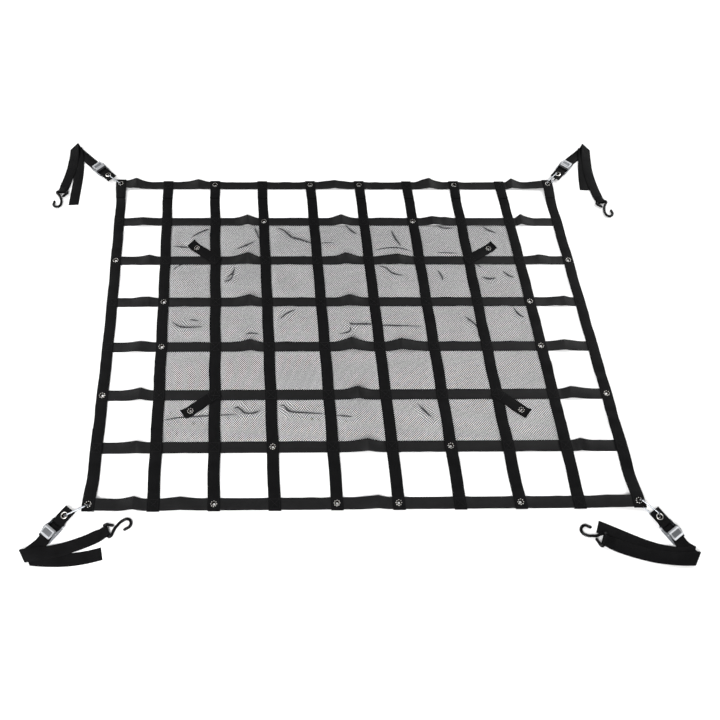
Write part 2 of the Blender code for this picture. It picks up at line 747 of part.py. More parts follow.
def cam_buckle(name, bar, turn):
    """The pressed frame and its cam lever, in a frame of their own at the anchor bar."""
    seat = bpy.data.objects.new(f"buckle_seat_{name}", None)
    seat.location = bar
    seat.rotation_euler = (0, 0, math.radians(turn))
    seat.parent = lay_out
    net_parts.objects.link(seat)

    outer = FRAME_INSIDE / 2 + FRAME_WALL
    back = FRAME_LONG - 0.006
    side = [
        # run from the bar, height
        (-0.0060, 0.0050),
        (-0.0060, 0.0110),
        (0.0020, 0.0135),
        (0.0110, 0.0125),
        (0.0180, 0.0175),
        (0.0280, 0.0205),
        (0.0390, 0.0165),
        (back - 0.002, 0.0085),
        (back, 0.0050),
        (back, 0.0),
        (0.0120, 0.0),
    ]
    frame = plate_outline(f"buckle_frame_{name}", side, FRAME_WALL, -outer)
    wall = hide_cutter(plate_outline(f"frame_wall_{name}", side, FRAME_WALL, outer - FRAME_WALL, cutters))
    floor = [
        (FLOOR_FRONT, FLOOR_LOW),
        (back - 0.001, FLOOR_LOW),
        (back - 0.001, FLOOR_LOW + FLOOR_THICK),
        (FLOOR_FRONT, FLOOR_LOW + FLOOR_THICK),
    ]
    inset = outer - 0.0004
    floor_plate = hide_cutter(plate_outline(f"frame_floor_{name}", floor, 2 * inset, -inset, cutters))
    anchor_bar = cross_rod(f"frame_bar_{name}", 0, BAR_HEIGHT, BAR_RADIUS, inset)
    pin_hole = cross_rod(f"frame_pin_hole_{name}", PIN_U, PIN_Z, PIN_HOLE, outer + 0.002)
    join_with(frame, floor_plate)
    join_with(frame, wall)
    join_with(frame, anchor_bar)
    cut_with(frame, pin_hole)

    pivot = bpy.data.objects.new(f"lever_pivot_{name}", None)
    pivot.location = (PIN_U, 0, PIN_Z)
    pivot.parent = seat
    net_parts.objects.link(pivot)
    lever_shape = [
        # run from the pin, height from the pin
        (-0.0050, -0.0086),
        (0.0030, -0.0060),
        (0.0045, 0.0012),
        (0.0180, 0.0030),
        (0.0222, 0.0052),
        (0.0214, 0.0066),
        (0.0170, 0.0050),
        (-0.0010, 0.0068),
        (-0.0075, 0.0058),
        (-0.0078, 0.0036),
        (-0.0040, 0.0020),
    ]
    lever = plate_outline(f"cam_lever_{name}", lever_shape, LEVER_WIDE, -LEVER_WIDE / 2)
    pin = cross_rod(f"lever_pin_{name}", 0, 0, PIN_RADIUS, outer)
    join_with(lever, pin)
    for piece in (frame, wall, floor_plate, anchor_bar, pin_hole):
        piece.parent = seat
    for piece in (lever, pin):
        piece.parent = pivot
    return frame, lever


# ---------------------------------------------------------------- corner webs
def anchor_web(name, bar, along, eye_height):
    """The short double web: round the frame's bar, both plies together at the eyelet."""
    wrap = BAR_RADIUS + GAP + HALF_PLY
    pair = PLY / 2
    eye_run = -EYE_TO_BAR
    tail = eye_run - ANCHOR_TAIL
    middle = BAR_HEIGHT + (eye_height - BAR_HEIGHT) * 0.72
    spread = (
        # run from the bar, height between the plies, half the distance between them
        (tail, eye_height, pair),
        (eye_run + 0.012, eye_height, pair),
        (-0.011, middle, pair + 0.0004),
    )
    lower = [(run, height - apart) for run, height, apart in spread]
    upper = [(run, height + apart) for run, height, apart in reversed(spread)]
    path = lower + turn_points((0, BAR_HEIGHT), wrap, -90, 90, 6) + upper
    side = across(along) * HALF_WEB
    rows = []
    for run, height in path:
        centre = bar + along * run + Vector((0, 0, height))
        rows.append((centre - side, centre + side))
    piece = web_from_rows(f"anchor_web_{name}", rows)
    eye = bar + along * eye_run + Vector((0, 0, eye_height))
    cut_with(piece, round_cutter(f"anchor_punch_{name}", eye, EYE_CUT, 0.02))
    eyelet_ring(f"anchor_eyelet_{name}", eye, 2 * WEB_THICK + GAP)
    return piece


def folded_strand(start, leg, low, high):
    """Rows of one strand from the buckle's exit, over the slanting fold, to its leg.

    The crease lies half-way between the two headings. The strand turns over it on a
    bend that opens out towards the fold's outer corner, so that corner stands up. A row
    is its left and right edge and the height of each.
    """
    fold_x, fold_y, _, _, set_off, _, rise = leg
    fold = Vector((fold_x, fold_y, 0))
    into = (fold - start).normalized()
    out = heading(set_off)
    crease = (into + out).normalized()
    slant = abs(into.cross(crease).z)
    half = crease * (HALF_WEB / slant)
    if half.dot(across(into)) > 0:
        half = -half
    normal = (into - crease * into.dot(crease)).normalized()
    tight = (high - low) / 2
    open_bend = tight + rise / 2000
    turns_left = into.cross(out).z > 0
    bends = (tight, open_bend) if turns_left else (open_bend, tight)
    skew = HALF_WEB * abs(into.dot(crease)) / slant
    square_in = across(into) * HALF_WEB
    before = fold - into * (skew + 0.006)
    rows = [(before + square_in, before - square_in, low, low)]
    for k in range(5):
        angle = math.radians(45 * k)
        drift = crease * (tight * angle / slant * into.dot(crease))
        left, right = [normal * (bend * math.sin(angle)) for bend in bends]
        heights = [low + bend * (1 - math.cos(angle)) for bend in bends]
        rows.append((fold + drift - half + left, fold + drift + half + right, *heights))
    leave = fold + crease * (tight * math.pi / slant * into.dot(crease))
    flipped = -1 if across(out).dot(half) < 0 else 1
    return rows, leave, skew, flipped, turns_left


def leg_place(leave, leg, run):
    """Place and heading on a leg's curved middle line at a run from its fold."""
    _, _, end_x, end_y, set_off, arrive, _ = leg
    end = Vector((end_x, end_y, 0))
    span = (end - leave).length
    first, last = heading(set_off) * span, heading(arrive) * span
    t = run / span
    if t >= 1:
        return end + heading(arrive) * (run - span), heading(arrive)
    place = leave * (2 * t**3 - 3 * t**2 + 1) + first * (t**3 - 2 * t**2 + t)
    place += end * (3 * t**2 - 2 * t**3) + last * (t**3 - t**2)
    aim = (end - leave) * (6 * t - 6 * t**2)
    aim += first * (3 * t**2 - 4 * t + 1) + last * (3 * t**2 - 2 * t)
    return place, aim.normalized()


def leg_rows(leave, leg, flipped, turns_left, stations):
    """Rows of a leg from stations of run from the fold, height and share of width."""
    filled = [stations[0]]
    for before, after in zip(stations, stations[1:]):
        steps = max(1, math.ceil(abs(after[0] - before[0]) / LEG_STEP))
        for k in range(1, steps + 1):
            filled.append(tuple(a + (b - a) * k / steps for a, b in zip(before, after)))
    rows = []
    for run, height, share in filled:
        place, aim = leg_place(leave, leg, run)
        side = across(aim) * (HALF_WEB * share * flipped)
        peak = leg[-1] / 1000 * max(0.0, 1 - run / PEAK_RUN)
        left_up, right_up = (0.0, peak) if turns_left else (peak, 0.0)
        rows.append((place - side, place + side, height + left_up, height + right_up))
    return rows


def long_web(name, bar, along, hook_leg, free_leg, stacked):
    """The long web: hook leg, fold, under the buckle's floor, back over it, fold, free leg."""
    leave_frame = bar + along * (FRAME_LONG + 0.004)
    levels = [HALF_PLY + PLY * k for k in range(4)]
    over_floor = FLOOR_LOW + FLOOR_THICK + GAP + HALF_PLY
    turn_radius = (over_floor - HALF_PLY) / 2
    turn_centre = (FLOOR_FRONT, HALF_PLY + turn_radius)
    side = across(along) * HALF_WEB

    rows, leave, skew, flipped, turns_left = folded_strand(leave_frame, hook_leg, levels[0], levels[3])
    hook_bar = Vector((*hook_leg[2:4], 0))
    reach = (hook_bar - leave).length
    floor_ply = levels[0] if stacked else levels[1]
    squeeze = HOOK_WEB / WEB_WIDTH
    stations = [(skew + 0.004, levels[3], 1), (0.078, levels[3], 1), (0.104, levels[1], 1)]
    if stacked:
        stations.append((stacked, levels[1], 1))
    stations += [(reach - 0.028, floor_ply, 1), (reach - 0.010, floor_ply, squeeze)]
    rows += leg_rows(leave, hook_leg, flipped, turns_left, stations)
    wrap = HOOK_WIRE + 2 * GAP + HALF_PLY
    bar_height = floor_ply + wrap
    lap = floor_ply + PLY + 0.0002
    loop = [(run, height, squeeze) for run, height in turn_points((reach, bar_height), wrap, -90, 90, 6)]
    loop += [(reach - 0.016, lap + 0.0042, squeeze), (reach - 0.030, lap, 1), (reach - HOOK_LAP, lap, 1)]
    rows += leg_rows(leave, hook_leg, flipped, turns_left, loop)
    rows.reverse()

    through = [(FRAME_LONG + 0.004, levels[0])]
    through += turn_points(turn_centre, turn_radius, -90, -270, 4)
    through += [(FRAME_LONG - 0.004, over_floor), (FRAME_LONG + 0.016, levels[1])]
    for run, height in through:
        centre = bar + along * run
        rows.append((centre + side, centre - side, height, height))

    folded, leave, skew, flipped, turns_left = folded_strand(leave_frame, free_leg, levels[1], levels[2])
    reach = (Vector((*free_leg[2:4], 0)) - leave).length
    stations = [(skew + 0.004, levels[2], 1), (0.074, levels[2], 1), (0.100, levels[0], 1)]
    stations.append((reach, levels[0], 1))
    rows += folded + leg_rows(leave, free_leg, flipped, turns_left, stations)

    points = []
    for left, right, left_high, right_high in rows:
        points.append((left + Vector((0, 0, left_high)), right + Vector((0, 0, right_high))))
    web_from_rows(f"long_web_{name}", points)
    return hook_bar, heading(hook_leg[5]), bar_height


for name, strap, cross, link_turn, turn, curl, stacked in CORNER_TABLE:
    corner = eyelet_place(strap, cross)
    link_along = heading(link_turn)
    web_along = heading(turn)
    bar = corner + link_along * EYE_TO_EYE + web_along * EYE_TO_BAR
    bar.z = 0
    pile = CORNER_PLIES * WEB_THICK + 2 * GAP
    eyelet_ring(f"corner_eyelet_{name}", corner + Vector((0, 0, LINK_MID)), pile)
    snap_link(name, corner, link_along)
    anchor_web(name, bar, web_along, LINK_MID)
    cam_buckle(name, bar, turn)
    hook_leg, free_leg = LEG_TABLE[name]
    hook_bar, hook_along, bar_height = long_web(name, bar, web_along, hook_leg, free_leg, stacked)
    wire_hook(name, hook_bar, hook_along, curl, bar_height)
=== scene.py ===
"""Cargo net for a pick-up bed, laid out flat: black webbing, fine mesh and plated hardware."""

import math

import bmesh
import bpy
from mathutils import Matrix, Vector, noise


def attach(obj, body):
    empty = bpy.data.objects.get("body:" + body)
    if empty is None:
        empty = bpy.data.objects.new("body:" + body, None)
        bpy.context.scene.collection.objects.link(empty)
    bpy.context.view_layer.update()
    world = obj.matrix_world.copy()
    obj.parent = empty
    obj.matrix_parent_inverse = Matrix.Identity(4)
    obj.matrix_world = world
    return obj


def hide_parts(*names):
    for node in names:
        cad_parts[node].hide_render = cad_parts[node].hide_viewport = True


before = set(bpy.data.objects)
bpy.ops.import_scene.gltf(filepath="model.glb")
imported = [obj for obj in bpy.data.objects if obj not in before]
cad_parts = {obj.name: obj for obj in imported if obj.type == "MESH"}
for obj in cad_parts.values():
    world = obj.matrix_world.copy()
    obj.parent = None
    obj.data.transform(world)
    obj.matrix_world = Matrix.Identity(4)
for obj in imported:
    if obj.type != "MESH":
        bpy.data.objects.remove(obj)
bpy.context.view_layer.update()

# -------- viewpoint
# The net is looked down on by someone who stands a step behind its near edge. A short
# lens takes in the whole grid and all four corner straps.
LAID_AT = Vector((0.0547, -0.0115, 0))  # middle of the strap grid on the ground

lens = bpy.data.cameras.new("viewpoint")
lens.lens = 31.75
lens.sensor_width = 36
viewpoint = bpy.data.objects.new("viewpoint", lens)
viewpoint.location = LAID_AT + Vector((0.002, -1.136, 1.922))
viewpoint.rotation_euler = (math.radians(27.35), math.radians(-0.71), math.radians(-0.59))
bpy.context.collection.objects.link(viewpoint)
bpy.context.scene.camera = viewpoint

# -------- cross straps
# Eight straps of 38 mm polypropylene webbing run the long way under the length straps.
# They are sewn down at each crossing and are a little longer than the cells, so they
# stand up between the crossings in low arches and sharp tents.
WEB_WIDTH = 0.038
WEB_THICK = 0.0018
CLEAR = 0.0003  # air between two plies
PLY = WEB_THICK + CLEAR
HALF_WEB = WEB_WIDTH / 2
HALF_PLY = WEB_THICK / 2
PITCH_X = 0.1863  # between length straps
PITCH_Y = 0.1814  # between cross straps
LENGTH_STRAPS = 10
CROSS_STRAPS = 8
RACK = -0.0837  # sideways lean of the length straps
CLOTH_REST = 0.0013  # underside of a strap that lies on the mesh
CROSSING = HALF_WEB + 0.004  # flat stretch each side of a crossing
CLIMB = 0.017  # run in which a strap climbs on another
CORNER_CLIMB = 0.062
EASE = 0.006  # run over which an ordinary bend is rounded
SELVEDGE_INSET = 0.001  # cross straps end this far inside the outer straps' edges
LINK_WIRE = 0.0025  # the corners are lifted to the middle of their snap links
LINK_WIDE = 0.020
LINK_LEAN = math.radians(65)
LINK_MID = LINK_WIRE + LINK_WIDE / 2 * math.sin(LINK_LEAN)
CORNER_PILE = 3 * WEB_THICK + 2 * CLEAR
CORNER_LIFT = LINK_MID - CORNER_PILE / 2
WASHER_THICK = 0.0008
EYELET_LIFT = 0.0011  # webbing stands on the eyelet's washer
EYELET_SINK = 0.0010  # the washer presses into the mesh

# Sideways set of each length strap in millimetres at the far edge, the middle and the
# near edge, and its sway between crossings.
STRAP_SET = [
    # far, middle, near, sway
    (-4, 4, -3, 1.5),
    (-7, 1, 3, -2.0),
    (-9, -1, 0, -2.5),
    (-10, -4, -2, -1.5),
    (-7, 0, 1, 1.5),
    (0, 3, 3, 1.0),
    (2, 4, 4, 1.5),
    (4, 1, 3, -2.0),
    (0, 3, -3, 1.0),
    (3, -3, -9, -2.0),
]

# Tents of each cross strap: cell from the left, place of the feet and the peak in percent
# of the cell, rise of the far and the near edge and drift to the far side in millimetres.
TENTS = [
    # cell, foot, peak, foot, far, near, drift
    [
        (0, 14, 34, 62, 17, 3, 5), (1, 30, 66, 86, 16, 2, 2), (4, 16, 50, 84, 9, 6, 5),
        (6, 20, 48, 72, 22, 9, 6), (8, 14, 24, 50, 20, 9, 6),
    ],
    [
        (0, 16, 50, 84, 7, 2, 0), (2, 44, 68, 86, 24, 3, 4), (4, 34, 56, 80, 20, 8, 4),
        (6, 20, 40, 80, 10, 6, 2), (8, 14, 23, 46, 22, 8, 6),
    ],
    [
        (0, 40, 70, 86, 12, 2, 0), (2, 34, 66, 86, 26, 3, 6), (4, 36, 56, 84, 24, 5, 5),
        (5, 14, 58, 86, 18, 2, 3), (8, 14, 40, 70, 9, 3, 2),
    ],
    [
        (0, 40, 72, 86, 12, 3, 0), (2, 40, 67, 86, 25, 4, 5), (4, 34, 54, 80, 24, 5, 4),
        (8, 30, 70, 86, 8, 4, 1),
    ],
    [
        (0, 36, 62, 86, 12, 4, 1), (2, 42, 66, 86, 24, 6, 4), (4, 24, 50, 80, 26, 12, 8),
        (5, 16, 40, 84, 16, 10, 6), (8, 16, 46, 80, 10, 5, 3),
    ],
    [(0, 42, 68, 86, 14, 8, 6), (4, 28, 52, 74, 26, 8, 6), (8, 16, 34, 70, 12, 8, 5)],
    [(0, 40, 68, 86, 16, 3, 2), (4, 30, 60, 84, 22, 6, 5), (8, 14, 26, 52, 14, 5, 3)],
    [
        (0, 44, 70, 86, 10, 12, 6), (1, 14, 44, 80, 6, 2, 5), (4, 30, 68, 86, 12, 4, 5),
        (8, 20, 50, 84, 5, 2, 2),
    ],
]

# Length straps that have an eyelet where each cross strap meets them.
EYELETS = [(0, 2, 4, 5, 7, 9), (3, 6), (0, 9), (1, 8), (1, 8), (0, 9), (3, 6), (0, 2, 4, 5, 7, 9)]


def row_y(cross):
    return (3.5 - cross) * PITCH_Y


def strap_set(strap, y):
    far, middle, near, sway = STRAP_SET[strap]
    run = y / row_y(0)
    bend = middle + (far - near) / 2 * run + ((far + near) / 2 - middle) * run * run
    return (bend + sway * math.sin(math.pi * (3.5 - y / PITCH_Y)) ** 2) / 1000


def strap_x(strap, y):
    return (strap - 4.5) * PITCH_X + RACK * y + strap_set(strap, y)


def crossing_place(strap, cross):
    return Vector((strap_x(strap, row_y(cross)), row_y(cross), 0))


def over_mesh(strap, cross):
    return 1 <= strap <= LENGTH_STRAPS - 2 and 1 <= cross <= CROSS_STRAPS - 2


def at_corner(strap, cross):
    return strap in (0, LENGTH_STRAPS - 1) and cross in (0, CROSS_STRAPS - 1)


def crossing_base(strap, cross):
    """Underside of the lowest ply at a crossing."""
    if at_corner(strap, cross):
        return CORNER_LIFT
    base = CLOTH_REST if over_mesh(strap, cross) else 0
    if strap in EYELETS[cross]:
        base += EYELET_LIFT - (EYELET_SINK if over_mesh(strap, cross) else 0)
    return base


def linear(hex_code):
    """An sRGB hex colour as the linear one that a shader takes."""
    levels = [int(hex_code[k:k + 2], 16) / 255 for k in (1, 3, 5)]
    return (*[((v + 0.055) / 1.055) ** 2.4 if v > 0.04045 else v / 12.92 for v in levels], 1)


def add_node(tree, kind, inputs=(), **settings):
    """A node with its settings; inputs are (socket, value or another node's output)."""
    made = tree.nodes.new(kind)
    for name, value in settings.items():
        setattr(made, name, value)
    for socket, value in inputs:
        if isinstance(value, bpy.types.NodeSocket):
            tree.links.new(value, made.inputs[socket])
        else:
            made.inputs[socket].default_value = value
    return made


def new_material(name, base, roughness, ior=1.5, metallic=0.0, specular=0.5):
    material = bpy.data.materials.new(name)
    material.use_nodes = True
    shader = material.node_tree.nodes["Principled BSDF"]
    for socket, value in (
        ("Base Color", linear(base)), ("Roughness", roughness), ("IOR", ior), ("Metallic", metallic),
        ("Specular IOR Level", specular),
    ):
        shader.inputs[socket].default_value = value
    return material, material.node_tree, shader


# Woven black polypropylene: flat yarns give a deep, faintly lined black that lightens
# only where a facet turns to the lamps. Yarn floats are 2.4 x 1.4 mm, just over life.
WOVEN_BLACK, tree, shader = new_material("woven_black_polypropylene", "#09090a", 0.46, 1.49, specular=0.055)
run = add_node(tree, "ShaderNodeUVMap", uv_map="run")
mm = add_node(tree, "ShaderNodeVectorMath", [(0, run.outputs[0]), ("Scale", 1000.0)], operation="SCALE")
floats = add_node(
    tree, "ShaderNodeTexBrick",
    [
        ("Vector", mm.outputs[0]), ("Scale", 1.0), ("Brick Width", 2.4), ("Row Height", 1.4),
        ("Mortar Size", 0.16), ("Mortar Smooth", 1.0),
        ("Color1", linear("#0d0d0e")), ("Color2", linear("#09090a")), ("Mortar", linear("#040404")),
    ],
)
handled = add_node(tree, "ShaderNodeTexNoise", [("Vector", mm.outputs[0]), ("Scale", 0.03), ("Detail", 3.0)])
faded = add_node(tree, "ShaderNodeMapRange", [(0, handled.outputs[0]), (1, 0.35), (2, 0.7), (3, 0.85), (4, 1.25)])
tinted = add_node(
    tree, "ShaderNodeVectorMath", [(0, floats.outputs["Color"]), ("Scale", faded.outputs[0])],
    operation="SCALE",
)
tree.links.new(tinted.outputs[0], shader.inputs["Base Color"])
weave = add_node(
    tree, "ShaderNodeBump", [("Height", floats.outputs["Fac"]), ("Strength", 0.5), ("Distance", 0.0003)],
    invert=True,
)
tree.links.new(weave.outputs[0], shader.inputs["Normal"])

# The ribs of the weave run across each strap, so one that lies across the light gleams
# more than one that runs towards it.
GLEAMING_BLACK = WOVEN_BLACK.copy()
GLEAMING_BLACK.name = "woven_black_polypropylene_gleaming"
GLEAMING_BLACK.node_tree.nodes["Principled BSDF"].inputs["Specular IOR Level"].default_value = 0.17


def apart(row, other):
    """Distance of two rows, as the mean of those of their ends."""
    return ((row[0] - other[0]).length + (row[1] - other[1]).length) / 2


def toward(row, other, part):
    """A row part of the way from one to another, with the first one's reach."""
    return row[0].lerp(other[0], part), row[1].lerp(other[1], part), row[2]


def soften(rows):
    """Rounds each bend of a run of (left, right, reach) rows, no further than its reach."""
    for share in (1.0, 0.4, 0.16):
        eased = [rows[0]]
        for before, here, after in zip(rows, rows[1:], rows[2:]):
            for other in (before, after):
                part = min(0.33, here[2] * share / max(apart(here, other), 1e-6))
                eased.append(toward(here, other, part))
        eased.append(rows[-1])
        rows = eased
    return rows


def subdivide(rows, longest):
    """Adds rows where two lie further apart than the longest step."""
    filled = [rows[0]]
    for before, here in zip(rows, rows[1:]):
        steps = max(1, math.ceil(apart(here, before) / longest))
        for k in range(1, steps + 1):
            filled.append((*toward(before, here, k / steps)[:2], here[2]))
    return filled


# Upper half of a webbing's section: place across its width and share of its thickness.
WEB_SECTION = [(0, 0), (0.012, 0.33), (0.045, 0.5), (0.5, 0.5), (0.955, 0.5), (0.988, 0.33), (1, 0)]
WEB_RING = WEB_SECTION + [(place, -rise) for place, rise in WEB_SECTION[-2:0:-1]]


def new_piece(name, shape, material, smooth=True):
    """A mesh built about the grid's middle becomes a named piece of the net."""
    bmesh.ops.recalc_face_normals(shape, faces=shape.faces)
    mesh = bpy.data.meshes.new(name)
    shape.to_mesh(mesh)
    shape.free()
    mesh.transform(Matrix.Translation(LAID_AT))
    mesh.materials.append(material)
    if smooth:
        mesh.shade_smooth()
        mesh.set_sharp_from_angle(angle=math.radians(40))
    piece = bpy.data.objects.new(name, mesh)
    bpy.context.collection.objects.link(piece)
    return piece


def up(height):
    return Vector((0, 0, height))


def lie_unevenly(rows, clear_of_hold):
    """Lifts one edge and then the other of a strap's slack stretches by up to 3 mm."""
    uneven = []
    for left, right, reach in rows:
        middle = (left + right) / 2
        loose = max(0.0, min(1.0, clear_of_hold(middle) / 0.035))
        swing = noise.noise(Vector((middle.x * 21, middle.y * 21, 4.2))) * 0.006 * loose
        uneven.append((left + up(max(0.0, swing)), right + up(max(0.0, -swing)), reach))
    return uneven


def span(shape, rings, caps=False):
    """Faces from each ring of corners to the next, and over both ends where asked."""
    for ring, after in zip(rings, rings[1:]):
        for n in range(len(ring)):
            m = (n + 1) % len(ring)
            shape.faces.new((ring[n], ring[m], after[m], after[n]))
    if caps:
        shape.faces.new(rings[0])
        shape.faces.new(rings[-1])


def wear(piece, slot, *nodes, body="net"):
    """The piece rides on its body and stands for its solids."""
    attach(piece, body)
    if nodes:
        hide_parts(*nodes)


def punch(piece, places, radius=0.0070, low=-0.01, high=0.05):
    """Cuts round upright holes through a piece."""
    shape = bmesh.new()
    for place in places:
        made = bmesh.ops.create_cone(
            shape, cap_ends=True, segments=28, radius1=radius, radius2=radius, depth=high - low
        )
        middle = Vector((place.x, place.y, (high + low) / 2)) + LAID_AT
        bmesh.ops.translate(shape, verts=made["verts"], vec=middle)
    mesh = bpy.data.meshes.new("punch")
    shape.to_mesh(mesh)
    shape.free()
    tool = bpy.data.objects.new("punch", mesh)
    bpy.context.collection.objects.link(tool)
    cut = piece.modifiers.new("holes", "BOOLEAN")
    cut.object = tool
    cut.solver = "EXACT"
    bpy.context.view_layer.update()
    holed = bpy.data.meshes.new_from_object(piece.evaluated_get(bpy.context.evaluated_depsgraph_get()))
    piece.modifiers.remove(cut)
    piece.data = holed
    bpy.data.objects.remove(tool)


def webbing(
    name, rows, holes=(), material=WOVEN_BLACK, longest=0.02,
    clear_of_hold=None,
):
    """A woven strap with its eyelet holes, through a run of (left, right, reach) rows."""
    rows = subdivide(soften(rows), longest)
    if clear_of_hold:
        rows = lie_unevenly(rows, clear_of_hold)
    shape = bmesh.new()
    lay = shape.loops.layers.uv.new("run")
    rings, marks, length = [], {}, 0.0
    for k, (left, right, _) in enumerate(rows):
        before, after = rows[max(k - 1, 0)], rows[min(k + 1, len(rows) - 1)]
        if k:
            length += (left + right - before[0] - before[1]).length / 2
        tangent = after[0] + after[1] - before[0] - before[1]
        rise = (right - left).cross(tangent).normalized() * (WEB_THICK - 0.0001)
        ring = [shape.verts.new(left.lerp(right, place) + rise * high) for place, high in WEB_RING]
        marks.update((vert, (length, place * (right - left).length)) for vert, (place, _) in zip(ring, WEB_RING))
        rings.append(ring)
    span(shape, rings)
    for face in shape.faces:
        for loop in face.loops:
            loop[lay].uv = marks[loop.vert]
    for ring in (rings[0], rings[-1]):
        shape.faces.new(ring)
    piece = new_piece(f"{name}_woven", shape, material)
    if holes:
        punch(piece, holes)
    wear(piece, "webbing", name)


def cross_strap_rows(cross):
    y = row_y(cross)
    over = PLY if cross in (0, CROSS_STRAPS - 1) else 0
    stations = []
    for strap in range(LENGTH_STRAPS):
        middle = strap_x(strap, y)
        base = crossing_base(strap, cross) + over
        left = middle - (HALF_WEB - SELVEDGE_INSET if strap == 0 else CROSSING)
        right = middle + (HALF_WEB - SELVEDGE_INSET if strap == LENGTH_STRAPS - 1 else CROSSING)
        stations += [(left, base, base, 0, EASE), (right, base, base, 0, EASE)]
        if strap == LENGTH_STRAPS - 1:
            continue
        pitch = strap_x(strap + 1, y) - middle
        rest = CLOTH_REST if over_mesh(strap, cross) and over_mesh(strap + 1, cross) else 0
        after = crossing_base(strap + 1, cross) + over
        run_out, run_in = [CORNER_CLIMB if at_corner(k, cross) else CLIMB for k in (strap, strap + 1)]
        start, stop = middle + CROSSING, middle + pitch - CROSSING
        tents = [row[1:] for row in TENTS[cross] if row[0] == strap]
        for *percents, far, near, drift in tents:
            foot, peak, end = (percent / 100 for percent in percents)
            for place, share, reach in (
                (foot, 0, 0.010), ((foot + peak) / 2, 0.42, 0.016), (peak, 1, 0.0025),
                ((peak + end) / 2, 0.36, 0.016), (end, 0, 0.012),
            ):
                x = middle + place * pitch
                blend = max(0.0, 1 - (x - start) / run_out) * (base - rest)
                blend += max(0.0, 1 - (stop - x) / run_in) * (after - rest)
                low = rest + blend
                lift = share / 1000
                stations.append((x, low + near * lift, low + far * lift, drift * lift, reach))
        if not tents:
            if base > rest + 0.0001:
                stations.append((start + run_out, rest, rest, 0, EASE))
            if after > rest + 0.0001:
                stations.append((stop - run_in, rest, rest, 0, EASE))
    rows = []
    for x, near, far, drift, reach in sorted(stations):
        wide = math.sqrt(WEB_WIDTH ** 2 - (far - near) ** 2)
        rows.append((
            Vector((x - RACK * HALF_WEB, y - HALF_WEB + drift * 0.4, near + HALF_PLY)),
            Vector((x + RACK * HALF_WEB, y - HALF_WEB + wide + drift, far + HALF_PLY)),
            reach,
        ))
    return rows


def off_length_straps(place):
    """Distance along a cross strap from the flat stretch of its nearest crossing."""
    column = (place.x - RACK * place.y) / PITCH_X + 0.5
    return abs(column - round(column)) * PITCH_X - CROSSING


for cross in range(CROSS_STRAPS):
    webbing(
        f"cross_strap_{cross + 1}", cross_strap_rows(cross),
        [crossing_place(strap, cross) for strap in EYELETS[cross]],
        material=GLEAMING_BLACK, clear_of_hold=off_length_straps,
    )

# -------- length straps
# Ten more lengths of the webbing lie over the cross straps. Each end goes under the
# edge strap, turns round its outer edge and is sewn back on top; the near lap is long.
FAR_LAP = 0.065
NEAR_LAP = 0.245
LONGER_LAP = 0.022  # added on the last two straps


def arc(centre, radius, start, stop, steps):
    """Points (run, height) on a bend about a centre, from one angle to another."""
    turns = [math.radians(start + (stop - start) * k / steps) for k in range(steps + 1)]
    return [(centre[0] + radius * math.cos(a), centre[1] + radius * math.sin(a)) for a in turns]


def lower_ply(strap):
    """Places (y, height) along the ply that lies on the cross straps, far to near."""
    places = []
    for cross in range(CROSS_STRAPS):
        y = row_y(cross)
        edge = cross in (0, CROSS_STRAPS - 1)
        height = crossing_base(strap, cross) + (0 if edge else PLY) + HALF_PLY
        climb = CORNER_CLIMB if at_corner(strap, cross) else CLIMB
        if cross > 0:
            if edge or cross == 1:
                places.append((y + CROSSING + climb, HALF_PLY))
            places.append((y + CROSSING, height))
        if cross < CROSS_STRAPS - 1:
            places.append((y - CROSSING, height))
            if edge:
                places.append((y - CROSSING - climb, HALF_PLY))
            elif cross < CROSS_STRAPS - 2:
                places.append((y - PITCH_Y / 2, HALF_PLY + CLOTH_REST + PLY * 0.6))
    return places


def height_on(places, y):
    """Height at a place along (place, height) points, level beyond the last."""
    for (y0, z0), (y1, z1) in zip(places, places[1:]):
        if min(y0, y1) <= y <= max(y0, y1):
            return z0 + (z1 - z0) * (y - y0) / (y1 - y0)
    nearest = min((places[0], places[-1]), key=lambda place: abs(place[0] - y))
    return nearest[1]


def filled(stations, longest=0.03):
    """Adds stations where two lie further apart along the run than the longest step."""
    full = [stations[0]]
    for before, after in zip(stations, stations[1:]):
        steps = max(1, math.ceil(abs(after[0] - before[0]) / longest))
        for k in range(1, steps + 1):
            full.append(tuple(a + (b - a) * k / steps for a, b in zip(before, after)))
    return full


def length_strap_rows(strap):
    main = lower_ply(strap)
    far_y, near_y = row_y(0), row_y(CROSS_STRAPS - 1)
    far_low = crossing_base(strap, 0) + HALF_PLY
    near_low = crossing_base(strap, CROSS_STRAPS - 1) + HALF_PLY
    far_end = far_y - FAR_LAP
    near_end = near_y + NEAR_LAP + (LONGER_LAP if strap >= 8 else 0)
    far_knee, near_knee = far_y - CROSSING - CLIMB, near_y + CROSSING + CLIMB
    path = [(y, height_on(main, y) + PLY) for y in (far_end, far_knee)]
    path.append((far_y - CROSSING, far_low + 2 * PLY))
    path += arc((far_y + HALF_WEB, far_low + PLY), PLY, 90, -90, 8)
    path += main
    path += arc((near_y - HALF_WEB, near_low + PLY), PLY, -90, -270, 8)
    path.append((near_y + CROSSING, near_low + 2 * PLY))
    path.append((near_knee, height_on(main, near_knee) + PLY))
    path += [(y, z + PLY) for y, z in reversed(main) if near_knee + 0.002 < y < near_end - 0.004]
    path.append((near_end, height_on(main, near_end) + PLY))
    half = HALF_WEB * math.sqrt(1 + RACK * RACK)
    rows = []
    for y, z in filled(path):
        inside = max(near_y, min(far_y, y))
        x = strap_x(strap, inside) + RACK * (y - inside)
        rows.append((Vector((x - half, y, z)), Vector((x + half, y, z)), EASE))
    return rows


def off_cross_straps(place):
    """Distance along a length strap from the flat stretch of its nearest crossing."""
    row = place.y / PITCH_Y + 0.5
    return abs(row - round(row)) * PITCH_Y - CROSSING


